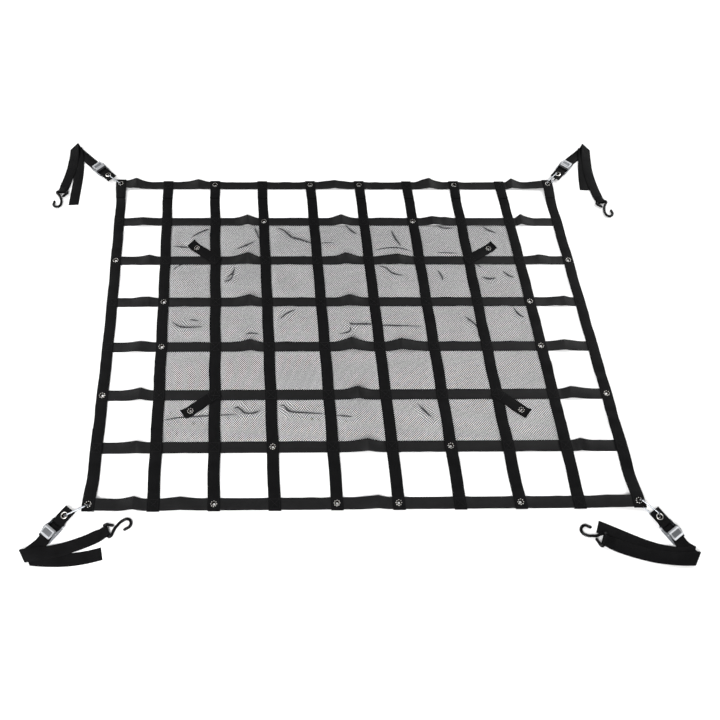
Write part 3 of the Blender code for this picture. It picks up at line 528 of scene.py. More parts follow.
for strap in range(LENGTH_STRAPS):
    webbing(
        f"length_strap_{strap + 1}", length_strap_rows(strap),
        [crossing_place(strap, cross) for cross, straps in enumerate(EYELETS) if strap in straps],
        clear_of_hold=off_cross_straps,
    )

# -------- stitching
# The straps are sewn together with bonded black thread: a box of stitches at each
# crossing, crossed where no eyelet is in the way.
BOX_HALF = 0.0145
STITCH = 0.0034  # thread of 0.6 mm, a little over the real one


def grained(name, base, roughness, grain, tones=None, dull=None, relief=None, **finish):
    """A material with fine noise (scale, detail) in its tones, roughness or relief."""
    material, tree, shader = new_material(name, base, roughness, **finish)
    fine = add_node(tree, "ShaderNodeTexNoise", [("Scale", grain[0]), ("Detail", grain[1])])
    if tones:
        dark, light = map(linear, tones)
        shade = add_node(
            tree, "ShaderNodeMix", [("Factor", fine.outputs[0]), (6, dark), (7, light)], data_type="RGBA"
        )
        tree.links.new(shade.outputs[2], shader.inputs["Base Color"])
    if dull:
        spread = add_node(tree, "ShaderNodeMapRange", [(0, fine.outputs[0]), (3, dull[0]), (4, dull[1])])
        tree.links.new(spread.outputs[0], shader.inputs["Roughness"])
    if relief:
        strength, depth = relief
        bump = add_node(
            tree, "ShaderNodeBump", [("Height", fine.outputs[0]), ("Strength", strength), ("Distance", depth)]
        )
        tree.links.new(bump.outputs[0], shader.inputs["Normal"])
    return material


# Bonded thread: a dull black that is a little lighter where its filaments catch light.
BONDED_THREAD = grained(
    "bonded_black_thread", "#121213", 0.5, (900.0, 2.0), tones=("#0a0a0a", "#181818"), specular=0.2
)


def sew_line(shape, start, stop):
    """Short raised stitches from one place to another."""
    along = (stop - start).normalized()
    side = along.cross(up(1)).normalized() * 0.0004
    crown = up(0.00035)
    count = max(1, round((stop - start).length / STITCH))
    for k in range(count):
        a = start.lerp(stop, (k + 0.10) / count)
        b = start.lerp(stop, (k + 0.90) / count)
        c = a.lerp(b, 0.25)
        d = a.lerp(b, 0.75)
        corners = [a - crown, c - side, c + crown, c + side, d - side, d + crown, d + side, b - crown]
        v = [shape.verts.new(corner) for corner in corners]
        for face in ((0, 1, 2), (0, 2, 3), (1, 4, 5, 2), (2, 5, 6, 3), (4, 7, 5), (5, 7, 6)):
            shape.faces.new([v[n] for n in face])


def sew_box(shape, corners, crossed=True):
    """A box of stitches, with its diagonals where no eyelet is in the way."""
    for a, b in zip(corners, corners[1:] + corners[:1]):
        sew_line(shape, a, b)
    if crossed:
        sew_line(shape, corners[0], corners[2])
        sew_line(shape, corners[1], corners[3])


def pile_at(cross):
    """Thickness of the plies at a crossing: the laps make it three near both edges."""
    plies = 3 if cross in (0, CROSS_STRAPS - 2, CROSS_STRAPS - 1) else 2
    return plies * PLY - CLEAR


thread = bmesh.new()
for cross in range(CROSS_STRAPS):
    for strap in range(LENGTH_STRAPS):
        middle = crossing_place(strap, cross)
        middle.z = crossing_base(strap, cross) + pile_at(cross) + 0.0001
        lean = Vector((RACK, 1, 0)).normalized() * BOX_HALF
        flat = Vector((BOX_HALF, 0, 0))
        corners = [middle - flat - lean, middle + flat - lean, middle + flat + lean, middle - flat + lean]
        sew_box(thread, corners, strap not in EYELETS[cross])
piece = new_piece("crossing_stitches", thread, BONDED_THREAD)
wear(piece, "webbing")

# -------- mesh panel
# A panel of open polyester mesh is sewn under the inner straps. It is slack, so it lies
# on the ground with a few creases that run between the straps.
MESH_INSET = 0.0115
MESH_STRAND = 0.0052  # from strand to strand
STRAND_SHARE = 0.355  # width of a strand in that

# Creases: where each runs on the net in centimetres, half width of its fold and height in
# millimetres.
CREASES = [
    # places, half width, height
    ([(-42, 32.5), (-39, 34), (-35.5, 36)], 2.5, 5),
    ([(-36, 43), (-34, 37.5)], 2.5, 5),
    ([(-27, 42.5), (-24.5, 41), (-21.5, 38), (-18.5, 37), (-14, 35.5), (-5.5, 35.5)], 3.5, 7),
    ([(-1.5, 44), (1, 41), (3, 39.5)], 2.5, 5),
    ([(16, 41.5), (17.5, 37.5), (19.5, 34)], 3.5, 6),
    ([(9.5, 32), (14, 33), (19, 33), (23.5, 31.5)], 2.5, 4),
    ([(10.5, 25), (13.5, 24), (16, 21.5), (20, 20.5)], 2.5, 5),
    ([(-45, 19), (-42.5, 22), (-42, 24.5)], 2, 4),
    ([(33.5, 44), (36, 42.5), (40, 42.5)], 3.5, 5),
    ([(51, 43.5), (53, 41.5), (56, 40)], 3.5, 5),
    ([(32.5, 31), (41, 30.5)], 2, 3),
    ([(32.5, 23), (34, 20), (34, 18.5)], 3, 5),
    ([(48.5, 20), (51, 19), (54, 19.5)], 3, 5),
    ([(56.5, 22.5), (58.5, 20.5), (60.5, 19.5)], 3, 5),
    ([(47, 25.5), (49, 24)], 2, 4),
    ([(-60.5, -36), (-55, -35), (-47, -34.5), (-36.5, -34)], 3, 6),
    ([(-38, -32), (-36.5, -31.5), (-34, -33.5), (-31, -33.5), (-29, -32.5)], 3, 6),
    ([(-23, -31), (-21.5, -31), (-19.5, -33), (-15, -33.5), (-7.5, -34)], 3, 6),
    ([(-4, -34.5), (1, -35)], 2, 4),
    ([(0, 0.5), (1.5, 0), (7, 0), (12.5, -0.5), (26, -1)], 3.5, 6),
    ([(-3.5, -4), (0, -3), (0.5, -1)], 2.5, 4),
    ([(41, 3), (43, 1), (45, -1.5), (45, -5.5)], 3, 6),
    ([(-66, 34), (-61.5, 33.5), (-58, 33.5)], 3.5, 5),
    ([(-59.5, 38), (-56, 40.5), (-53, 42)], 2, 5),
    ([(-64.5, 23), (-62.5, 25), (-60, 26)], 2, 4),
    ([(-45.5, 18), (-43, 19), (-42, 24)], 2.5, 5),
    ([(-62, 1), (-58.5, -1), (-51, -1)], 3, 5),
    ([(-56, 2), (-53, 1.5)], 2, 4),
    ([(-36, -4), (-34.5, -3.5), (-31, -4)], 2.5, 4),
    ([(-24.5, 2), (-22, 4.5), (-19, 6)], 2.5, 5),
    ([(58.5, 7), (60, 4), (62, 2.5)], 3, 5),
    ([(22.5, -30.5), (25, -33.5), (27, -35.5)], 3, 5),
]

# Tabs: crossing, heading in degrees and height of the curled end in millimetres.
TABS = [
    # name, length strap, cross strap, heading, tip
    ("far_left", 2, 2, 143, 13),
    ("far_right", 7, 2, 34, 6),
    ("near_left", 2, 5, 217, 9),
    ("near_right", 7, 5, -38, 5),
]
TAB_ROOT = 0.015
TAB_TIP = 0.120
TAB_EYE = 0.094


def heading(degrees):
    return Vector((math.cos(math.radians(degrees)), math.sin(math.radians(degrees)), 0))


def left_of(aim):
    return Vector((-aim.y, aim.x, 0))


def off_line(x, y, x0, y0, x1, y1):
    """Distance of a place from a line between two others, and the way to it."""
    dx, dy = x1 - x0, y1 - y0
    share = max(0.0, min(1.0, ((x - x0) * dx + (y - y0) * dy) / (dx * dx + dy * dy)))
    out_x, out_y = x - x0 - dx * share, y - y0 - dy * share
    return math.hypot(out_x, out_y), out_x, out_y


tab_lines = []
for _, strap, cross, turn, _ in TABS:
    root = crossing_place(strap, cross)
    tip = root + heading(turn) * TAB_TIP
    tab_lines.append((root.x, root.y, tip.x, tip.y))


def rounded(points, steps=5):
    """A smooth run through points."""
    ends = [points[0] * 2 - points[1]] + points + [points[-1] * 2 - points[-2]]
    smooth = []
    for a, b, c, d in zip(ends, ends[1:], ends[2:], ends[3:]):
        for k in range(steps):
            t = k / steps
            smooth.append(
                (b * 2 + (c - a) * t + (a * 2 - b * 5 + c * 4 - d) * t ** 2 + (b * 3 - a - c * 3 + d) * t ** 3) / 2
            )
    smooth.append(points[-1])
    return smooth


GATHER = 0.026  # cloth to each side that a crease draws in

crease_lines = []
for places, _, height in CREASES:
    for start, stop in zip(places, places[1:]):
        crease_lines.append((*(k / 100 for k in start + stop), height / 1000))


def slack(x, y):
    """Share of freedom of the mesh: nil under straps and tabs, one in a cell's middle."""
    column = (x - RACK * y) / PITCH_X + 0.5
    row = y / PITCH_Y + 0.5
    clear = min(
        abs(column - round(column)) * PITCH_X, abs(row - round(row)) * PITCH_Y,
    ) - HALF_WEB - 0.002
    for line in tab_lines:
        clear = min(clear, off_line(x, y, *line)[0] - HALF_WEB - 0.003)
    return max(0.0, min(1.0, clear / 0.012))


def creased(x, y):
    """The place of the slack mesh there: drawn to its creases and raised along them."""
    free = slack(x, y)
    rise = 0.0006 * (1 + noise.noise(Vector((x * 14, y * 14, 0.3))))
    drawn_x, drawn_y = x, y
    for x0, y0, x1, y1, height in crease_lines:
        away, out_x, out_y = off_line(x, y, x0, y0, x1, y1)
        if away < GATHER:
            pull = 0.7 * free * (1 - away / GATHER) ** 1.5
            drawn_x -= out_x * pull
            drawn_y -= out_y * pull
            rise = max(rise, height / 3 * (1 - away * (1 - pull) / GATHER))
    return drawn_x, drawn_y, rise * free


# Polyester mesh, knitted from dark monofilament: thin strands with a slight plastic
# shine and open gaps, so the ground shows through it as a mid grey.
KNITTED_POLYESTER = grained(
    "knitted_black_polyester_mesh", "#333335", 0.55, (60.0, 2.0), tones=("#2c2c2e", "#3b3b3e"), ior=1.58
)

panel_wide = 7 * PITCH_X - 2 * MESH_INSET
panel_deep = 5 * PITCH_Y - 2 * MESH_INSET
half_step = MESH_STRAND / math.sqrt(2)
across_count = 2 * round(panel_wide / half_step / 2)
down_count = 2 * round(panel_deep / half_step / 2)
step_x = panel_wide / across_count
step_y = panel_deep / down_count
reach = 1 - STRAND_SHARE


def mesh_place(i, j):
    """A place on the panel from its count of half steps across and up."""
    y = -panel_deep / 2 + j * step_y
    u = -panel_wide / 2 + i * step_x
    place = u / PITCH_X + 4.5
    left = min(LENGTH_STRAPS - 2, int(place))
    share = place - left
    shift = strap_set(left, y) * (1 - share) + strap_set(left + 1, y) * share
    x, y, rise = creased(u + RACK * y + shift, y)
    return Vector((x, y, 0.0006 + rise))


def fold_over(shape, places, half, height):
    """A narrow pleat of doubled mesh along a crease, thin at both its ends."""
    run = rounded([Vector((x / 100, y / 100, 0)) for x, y in places], 6)
    rings = []
    for k, place in enumerate(run):
        before, after = run[max(k - 1, 0)], run[min(k + 1, len(run) - 1)]
        aim = (after - before).normalized()
        wide = half / 1000 * max(0.02, math.sin(math.pi * k / (len(run) - 1))) ** 0.6
        wide *= 1 + 0.35 * noise.noise(place * 60)
        side = left_of(aim) * wide
        top = 0.0009 + height / 1000 * slack(place.x, place.y) * wide / (half / 1000)
        low = up(0.0008)
        rings.append([
            shape.verts.new(place - side + low), shape.verts.new(place + up(top)),
            shape.verts.new(place + side + low),
        ])
    for ring, after in zip(rings, rings[1:]):
        shape.faces.new((ring[0], ring[1], after[1], after[0]))
        shape.faces.new((ring[1], ring[2], after[2], after[1]))


panel_columns = 7
for column in range(panel_columns):
    first = round(across_count * column / panel_columns)
    last = round(across_count * (column + 1) / panel_columns)
    shape = bmesh.new()
    corners = {}
    for i in range(first, last + 1):
        for j in range(1, down_count):
            if (i + j) % 2:
                for side, (di, dj) in enumerate(((1, 0), (0, 1), (-1, 0), (0, -1))):
                    corners[i, j, side] = shape.verts.new(mesh_place(i + di * reach, j + dj * reach))
    for i in range(first, last + 1):
        for j in range(1, down_count):
            if (i + j) % 2:
                # strands towards the holes up right and down right
                for dj, start, stop in ((1, 1, 3), (-1, 3, 1)):
                    if (i + 1, j + dj, 0) in corners:
                        ring = ((i, j, 0), (i + 1, j + dj, stop), (i + 1, j + dj, 2), (i, j, start))
                        shape.faces.new([corners[key] for key in ring])
            else:
                ring = ((i - 1, j, 0), (i, j - 1, 1), (i + 1, j, 2), (i, j + 1, 3))
                if all(key in corners for key in ring):
                    shape.faces.new([corners[key] for key in ring])
    for places, half, height in CREASES:
        begin = (places[0][0] - RACK * places[0][1]) / 100 + 3.5 * PITCH_X
        if column == max(0, min(panel_columns - 1, int(begin / PITCH_X))):
            fold_over(shape, places, half, height)
    name = f"mesh_panel_column_{column + 1}"
    covered = sum(face.calc_area() for face in shape.faces)
    piece = new_piece(name, shape, KNITTED_POLYESTER)
    wear(piece, "mesh_cloth", "mesh_panel")

# -------- eyelets
# Brass eyelets, nickel plated, are set through the webbing at twenty-four crossings. The
# barrel's rim is split as it is rolled over, so eight bright petals show on top.
EYELET_BARREL = 0.0069
EYELET_SHADE = 0.0077  # painted shade covers the rolled rim and the barrel inside this radius
PETALS = 8
PETAL_ROOT = 0.0071
EYELET_STEPS = 96

# Sections in millimetres: the rim from the top of the pile, split or whole, and the
# washer from its underside.
SPLIT_RIM = [(6.3, 0.10), (6.7, 0.30), (7.1, 0.55), (7.7, 0.82), (8.4, 0.98), (9.2, 0.86), (9.8, 0.45), (9.9, 0.02)]
WHOLE_RIM = [(6.3, 0.30), (6.5, 0.70), (7.1, 0.92), (8.1, 0.98), (9.1, 0.86), (9.9, 0.58), (10.4, 0.22), (10.5, 0)]
WASHER = [(10.5, 0), (10.5, -0.45), (10.2, -0.62), (6.0, -0.75), (3.9, -0.6), (3.6, -0.2), (4.2, 0.6)]

# Nickel plate on pressed brass: a warm silver with fine polishing marks.
NICKEL_PLATE = grained(
    "nickel_plated_brass", "#e2e0db", 0.3, (260.0, 3.0), dull=(0.22, 0.42), relief=(0.08, 0.0004), metallic=1.0
)

# Painted shade: a dark brass inside the barrel and on the rim's inner edge, so each hole looks deep and shadowed.
PAINTED_SHADE_BRASS = grained(
    "brass_painted_shade", "#1d1a17", 0.55, (400.0, 2.0), tones=("#15120f", "#2a2520"), metallic=1.0
)


def eyelet(name, centre, pile, *nodes, split=True):
    """Rolled rim on top, barrel through a pile of webbing, flat washer below.

    A split rim comes and goes round the ring in petals, down to their root.
    """
    h = pile / 2 + 0.0001
    profile = [(r / 1000, h + z / 1000, True) for r, z in (SPLIT_RIM if split else WHOLE_RIM)]
    profile += [(EYELET_BARREL, h, False), (EYELET_BARREL, -h, False)]
    profile += [(r / 1000, -h + z / 1000, False) for r, z in WASHER]
    shape = bmesh.new()
    rings = []
    for k in range(EYELET_STEPS):
        angle = math.tau * k / EYELET_STEPS
        out = Vector((math.cos(angle), math.sin(angle), 0))
        full = min(1.0, max(0.0, 0.30 + math.cos(PETALS * angle))) ** 0.6
        ring = []
        for r, z, top in profile:
            if split and top and r > PETAL_ROOT:
                r = PETAL_ROOT + (r - PETAL_ROOT) * (0.08 + 0.92 * full)
                z -= 0.0005 * (1 - full)
            ring.append(shape.verts.new(centre + out * r + up(z)))
        rings.append(ring)
    span(shape, rings + rings[:1])
    piece = new_piece(name, shape, NICKEL_PLATE)
    piece.data.materials.append(PAINTED_SHADE_BRASS)
    # Faces inside EYELET_SHADE, above the washer's underside, take the painted shade.
    for face in piece.data.polygons:
        away = face.center - centre - LAID_AT
        if math.hypot(away.x, away.y) < EYELET_SHADE and away.z > -h - 0.0004:
            face.material_index = 1
    wear(piece, "eyelet", *nodes)


for cross, straps in enumerate(EYELETS):
    for strap in straps:
        if at_corner(strap, cross):
            continue
        pile = pile_at(cross)
        centre = crossing_place(strap, cross)
        centre.z = crossing_base(strap, cross) + pile / 2
        eyelet(f"eyelet_{strap + 1}_{cross + 1}", centre, pile)

# -------- tabs
# Four short webbing tabs are sewn on inner crossings and point to the net's corners.
# Each has an eyelet near its cut end, which curls up a little.


def rows_along(start, along, stations, way=1):
    """Rows of a straight run from stations of run, height and reach."""
    side = left_of(along) * HALF_WEB * way
    rows = []
    for run, height, reach in stations:
        centre = start + along * run + up(height)
        rows.append((centre - side, centre + side, reach))
    return rows


def tab_rows(strap, cross, turn, tip):
    root = crossing_place(strap, cross)
    along = heading(turn)
    low = CLOTH_REST + HALF_PLY
    eye = CLOTH_REST + 2 * CLEAR + WASHER_THICK + HALF_PLY
    stations = [
        # run, height, reach
        (-TAB_ROOT, low + 2 * PLY, 0.001),
        (0.046, low + 2 * PLY, 0.010),
        (0.062, low + PLY + 0.0003, 0.010),
        (0.078, eye, 0.008),
        (TAB_EYE + 0.012, eye, 0.006),
        (TAB_TIP - 0.006, eye + tip * 0.45 / 1000, 0.004),
        (TAB_TIP, eye + tip / 1000, 0.001),
    ]
    return rows_along(root, along, stations), root + along * TAB_EYE + up(eye)


tab_thread = bmesh.new()
for name, strap, cross, turn, tip in TABS:
    rows, eye_at = tab_rows(strap, cross, turn, tip)
    webbing(f"tab_{name}", rows, [eye_at], longest=0.01)
    eyelet(f"tab_eyelet_{name}_ring", eye_at, WEB_THICK, f"tab_eyelet_{name}")
    root = crossing_place(strap, cross)
    root.z = CLOTH_REST + 3 * PLY - CLEAR + 0.0001
    along = heading(turn)
    side = left_of(along) * BOX_HALF
    near, far = root - along * 0.011, root + along * 0.020
    corners = [near - side, far - side, far + side, near + side]
    sew_box(tab_thread, corners)
piece = new_piece("tab_stitches", tab_thread, BONDED_THREAD)
wear(piece, "webbing")

# -------- snap links
# Each corner eyelet carries a snap link of bright zinc plated spring wire, a long loop
# that leans over on its lower rail and also goes through the anchor web's eyelet.
LINK_LONG = 0.071
LINK_IN_CORNER = 0.0001  # bow past the middle of the corner eyelet
LINK_IN_ANCHOR = 0.0017  # the same at the anchor eyelet

# Corner tie-downs: crossing, headings of the link and the buckle in degrees.
CORNERS = [
    # name, strap, cross, link, buckle
    ("far_left", 0, 0, 141.5, 137),
    ("far_right", 9, 0, 46.6, 51),
    ("near_left", 0, 7, 207, 234),
    ("near_right", 9, 7, -43, -56),
]

# Bright zinc on drawn and pressed steel: cool silver, with faint spangle and draw marks.
ZINC_PLATE = grained(
    "bright_zinc_plated_steel", "#8b8e92", 0.18, (180.0, 4.0), dull=(0.10, 0.28), relief=(0.06, 0.0005),
    metallic=1.0,
)

WIRE_TIP = [(0.92, 0.38), (0.71, 0.71), (0.38, 0.92)]  # reach and width of a rounded end


def bent_wire(name, points, radius, material, closed=False, sides=14):
    """A round wire along a run of points, with rounded ends where it isn't closed."""
    shape = bmesh.new()
    count = len(points)
    rings = []
    normal = None
    for k, point in enumerate(points):
        before = points[(k - 1) % count] if closed else points[max(k - 1, 0)]
        after = points[(k + 1) % count] if closed else points[min(k + 1, count - 1)]
        tangent = (after - before).normalized()
        if normal is None:
            normal = tangent.orthogonal().normalized()
        normal = (normal - tangent * normal.dot(tangent)).normalized()
        side = tangent.cross(normal)
        sections = [(0.0, 1.0)]
        if not closed and k == 0:
            sections = [(-along, share) for along, share in WIRE_TIP] + sections
        if not closed and k == count - 1:
            sections += WIRE_TIP[::-1]
        for along, share in sections:
            middle = point + tangent * (along * radius)
            rings.append([
                shape.verts.new(middle + (normal * math.cos(a) + side * math.sin(a)) * (radius * share))
                for a in (math.tau * n / sides for n in range(sides))
            ])
    if closed:
        # the last ring meets the first with the least twist
        first = rings[0]
        best = min(range(sides), key=lambda s: (first[s].co - rings[-1][0].co).length)
        rings.append(first[best:] + first[:best])
    span(shape, rings, caps=not closed)
    return new_piece(name, shape, material)


for name, strap, cross, link_turn, _ in CORNERS:
    corner = crossing_place(strap, cross)
    along = heading(link_turn)
    eyelet(f"corner_eyelet_{name}_ring", corner + up(LINK_MID), CORNER_PILE, f"corner_eyelet_{name}")
    side = left_of(along)
    lean = side * math.cos(LINK_LEAN) + up(math.sin(LINK_LEAN))
    middle = corner + along * (LINK_IN_CORNER + LINK_LONG / 2) + up(LINK_MID)
    straight = LINK_LONG / 2 - LINK_WIDE / 2
    points = []
    for end in (1, -1):
        for k in range(17):
            angle = math.radians(-90 + 180 * k / 16)
            run = straight + LINK_WIDE / 2 * math.cos(angle)
            points.append(middle + along * (end * run) + lean * (end * LINK_WIDE / 2 * math.sin(angle)))
    piece = bent_wire(f"snap_link_{name}_wire", points, LINK_WIRE, ZINC_PLATE, closed=True)
    wear(piece, "zinc", f"snap_link_{name}")

# -------- anchor webs
# A short doubled web joins each snap link to its buckle: it goes round the buckle's
# anchor bar and its two plies are held together by an eyelet.
EYE_TO_BAR = 0.028
ANCHOR_TAIL = 0.024
BAR_RADIUS = 0.0025
BAR_HEIGHT = 0.008

# Each buckle's seat: its anchor bar, the way to its back and the way across it.
seats = {}
for name, strap, cross, link_turn, turn in CORNERS:
    eye_to_eye = heading(link_turn) * (LINK_LONG + LINK_IN_CORNER + LINK_IN_ANCHOR)
    along = heading(turn)
    bar = crossing_place(strap, cross) + eye_to_eye + along * EYE_TO_BAR
    seats[name] = (bar, along, left_of(along))
    wrap = BAR_RADIUS + CLEAR + HALF_PLY
    middle = BAR_HEIGHT + (LINK_MID - BAR_HEIGHT) * 0.72
    spread = [
        (-EYE_TO_BAR - ANCHOR_TAIL, LINK_MID, PLY / 2),
        (-EYE_TO_BAR + 0.012, LINK_MID, PLY / 2),
        (-0.011, middle, PLY / 2 + 0.0004),
    ]
    path = [(run, height - half, 0.004) for run, height, half in spread]
    path += [(run, height, 0.0005) for run, height in arc((0, BAR_HEIGHT), wrap, -90, 90, 12)]
    path += [(run, height + half, 0.004) for run, height, half in reversed(spread)]
    eye_at = bar - along * EYE_TO_BAR + up(LINK_MID)
    webbing(
        f"anchor_web_{name}", rows_along(bar, along, path), [eye_at],
        longest=0.01,
    )
    eyelet(
        f"anchor_eyelet_{name}_ring", eye_at, 2 * WEB_THICK + CLEAR, f"anchor_eyelet_{name}", split=False
    )

# -------- cam buckles
# The buckle is pressed from zinc plated steel: two side plates and a floor in one
# channel, an anchor bar, and a cam lever that turns on a pin between the plates.
FRAME_BACK = 0.056
FRAME_INSIDE = 0.0406
FRAME_WALL = 0.0016
FLOOR_FRONT = 0.0075
FLOOR_LOW = PLY
FLOOR_THICK = 0.0015
PIN_RUN = 0.026
PIN_HEIGHT = 0.015
LEVER_WIDE = 0.0382

# Cast zinc lever, barrel plated and tumbled: an even satin that takes on broad light.
SATIN_ZINC = grained(
    "satin_zinc_lever", "#b9bbbe", 0.45, (240.0, 4.0), dull=(0.36, 0.56), relief=(0.1, 0.0005), metallic=1.0
)

# The lever's ribbed grip is the same satin with a darker base colour.
DARKER_GRIP_ZINC = SATIN_ZINC.copy()
DARKER_GRIP_ZINC.name = "satin_zinc_lever_grip"
DARKER_GRIP_ZINC.node_tree.nodes["Principled BSDF"].inputs["Base Color"].default_value = linear("#85878a")

# Zinc on pressed sheet: a greyer plate with rolling marks that runs dull in patches.
SHEET_ZINC = grained(
    "zinc_plated_sheet_steel", "#707377", 0.36, (150.0, 4.0), tones=("#5e6165", "#84878b"), dull=(0.26, 0.46),
    metallic=1.0,
)

SIDE_PLATE = [
    # run from the bar, height
    (-6, 5), (-6.6, 8), (-5.4, 11.2), (-2, 12.9), (2.5, 13.2), (7, 12.2), (11, 12.6),
    (15, 15.2), (19, 18.2), (24, 20.1), (28, 20.4), (33, 19.2), (39, 16.3),
    (48, 11.6), (54.5, 8.2), (56, 5), (56, 1.2), (54.8, 0), (12, 0), (4, 1.4),
    (-2, 3.2),
]
LEVER_PLATE = [
    # run and height from the pin
    (-5, -8.6), (-2.2, -8), (-1, -7), (1, -7.2), (3, -6), (4, -3), (4.5, 1),
    (8, 1.3), (13, 2), (18, 2.9), (20.6, 4), (22.4, 5.3), (22, 6.5), (21, 6.5),
    (18, 5.3), (12, 5.6), (6, 6.3), (-1.4, 6.9), (-3, 6.4), (-7.6, 3.4), (-8, 2.8),
    (-6.4, 2), (-4, 1.4), (-4.4, -3),
]
LEVER_TOP = [(-1.4, 6.9), (6, 6.3), (12, 5.6), (18, 5.3)]
GRIP_RUN = (0.6, 16.6)  # ribbed part of the lever's top, from the pin
GRIP_RIBS = 8
GRIP_INSET = 0.0045  # from the lever's sides
FLOOR_INSET = 0.0004  # of the floor's edges in the side plates
PIN_RADIUS = 0.0020
RIVET_RADIUS = 0.0046
# Ends of the pin, and the rivet heads: height outside the plate, share of the radius.
PIN_DOME = [(0.0008, 0.55), (0.00032, 0.9), (0.0, 1.0)]
RIVET_HEAD = [(-0.0002, 1.0), (0.0005, 1.0), (0.0009, 0.82), (0.0009, 0.56), (0.0003, 0.42)]


def pressed(shape, outline, start, stop, seat):
    """A flat outline in (run, height) millimetres swept across the buckle."""
    place, along, side = seat
    ends = []
    for offset in (start, stop):
        ends.append([
            shape.verts.new(place + along * (run / 1000) + side * offset + up(height / 1000))
            for run, height in outline
        ])
    span(shape, ends, caps=True)


def spun(shape, seat, height, radius, stops, sides=20):
    """A round part that lies across the buckle, from stops (offset, share of its radius)."""
    place, along, side = seat
    rings = []
    for offset, share in stops:
        middle = place + side * offset + up(height)
        rings.append([
            shape.verts.new(middle + (along * math.cos(a) + up(math.sin(a))) * radius * share)
            for a in (math.tau * n / sides for n in range(sides))
        ])
    span(shape, rings, caps=True)


def ease_edges(piece, width):
    """Small rounded edges, as a press and a tumbling drum leave them."""
    edges = piece.modifiers.new("edges", "BEVEL")
    edges.width = width
    edges.segments = 2
    edges.limit_method = "ANGLE"
    edges.angle_limit = math.radians(35)
    edges.harden_normals = True


outer = FRAME_INSIDE / 2 + FRAME_WALL
for name, seat in seats.items():
    bar, along, side = seat
    shape = bmesh.new()
    pressed(shape, SIDE_PLATE, -outer, -outer + FRAME_WALL, seat)
    pressed(shape, SIDE_PLATE, outer - FRAME_WALL, outer, seat)
    front, back = FLOOR_FRONT * 1000, FRAME_BACK * 1000 - 1
    low, top = FLOOR_LOW * 1000, (FLOOR_LOW + FLOOR_THICK) * 1000
    floor = [(front, low), (back, low), (back, top), (front, top)]
    pressed(shape, floor, -outer + FLOOR_INSET, outer - FLOOR_INSET, seat)
    piece = new_piece(f"buckle_frame_{name}_pressed", shape, SHEET_ZINC)
    ease_edges(piece, 0.0004)
    wear(piece, "zinc", f"buckle_frame_{name}")
    shape = bmesh.new()
    spun(shape, seat, BAR_HEIGHT, BAR_RADIUS, [(-outer + 0.0002, 1.0), (outer - 0.0002, 1.0)])
    for way in (1, -1):
        head = [(way * (outer + out), share) for out, share in RIVET_HEAD]
        spun(shape, seat, BAR_HEIGHT, RIVET_RADIUS, head, sides=24)
    wear(new_piece(f"anchor_bar_{name}", shape, SATIN_ZINC), "zinc")

    pin_seat = (bar + along * PIN_RUN + up(PIN_HEIGHT), along, side)
    shape = bmesh.new()
    pressed(shape, LEVER_PLATE, -LEVER_WIDE / 2, LEVER_WIDE / 2, pin_seat)
    pin = [(-outer - out, share) for out, share in PIN_DOME]
    pin += [(outer + out, share) for out, share in reversed(PIN_DOME)]
    spun(shape, pin_seat, 0, PIN_RADIUS, pin)
    piece = new_piece(f"cam_lever_{name}_cast", shape, SATIN_ZINC)
    ease_edges(piece, 0.0005)
    wear(piece, "zinc", f"cam_lever_{name}", body=f"lever_{name}")

    shape = bmesh.new()
    first, last = GRIP_RUN
    grip = [(first - 0.4, height_on(LEVER_TOP, first) - 0.3)]
    for k in range(GRIP_RIBS):
        for share, rise in ((0.0, 0.05), (0.15, 0.55), (0.55, 0.55), (0.7, 0.05)):
            run = first + (k + share) * (last - first) / GRIP_RIBS
            grip.append((run, height_on(LEVER_TOP, run) + rise))
    grip.append((last + 0.4, height_on(LEVER_TOP, last) - 0.3))
    pressed(shape, grip, -LEVER_WIDE / 2 + GRIP_INSET, LEVER_WIDE / 2 - GRIP_INSET, pin_seat)
    wear(new_piece(f"lever_grip_{name}", shape, DARKER_GRIP_ZINC), "zinc", body=f"lever_{name}")

# -------- long webs
# The long web of each corner goes in under the buckle's floor, turns round its front
# edge and comes back over it under the cam. Both strands are folded over together,
# one leg ends in the hook and the other is the free end.
HOOK_WEB = 0.030
HOOK_LAP = 0.050
HOOK_WIRE = 0.0045
BACK_RUN = 0.066  # from the anchor bar to where both strands leave the buckle
PEAK_RUN = 0.060  # run in which a fold's standing corner comes down

# Hook leg and free leg of each web: places of the fold and of the leg's end in metres,
# headings in which it sets off and arrives in degrees, and the rise of the fold's outer
# corner in millimetres. Then the side to which the hook curls, and the run in which the
# hook leg lies on the free leg, nil where it does so up to the hook.
LEGS = {
    # corner: fold x, fold y, end x, end y, set off, arrive, rise
    "far_left": (
        (-1.111, 0.829, -1.117, 0.597, -78, -92, 17),
        (-1.101, 0.819, -1.066, 0.538, -70, -86, 7),
        -1, 0.0,
    ),
    "far_right": (
        (0.972, 0.831, 0.988, 0.548, -100, -76, 17),
        (0.962, 0.821, 0.937, 0.614, -99, -92, 7),
        1, 0.230,
    ),
    "near_left": (
        (-0.949, -0.781, -0.722, -0.714, 5, 30, 12),
        (-0.936, -0.789, -0.727, -0.778, -8, 17, 4),
        -1, 0.130,
    ),
    "near_right": (
        (1.020, -0.803, 0.757, -0.752, 184, 156, 10),
        (1.018, -0.790, 0.746, -0.710, 187, 158, 3),
        -1, 0.0,
    ),
}


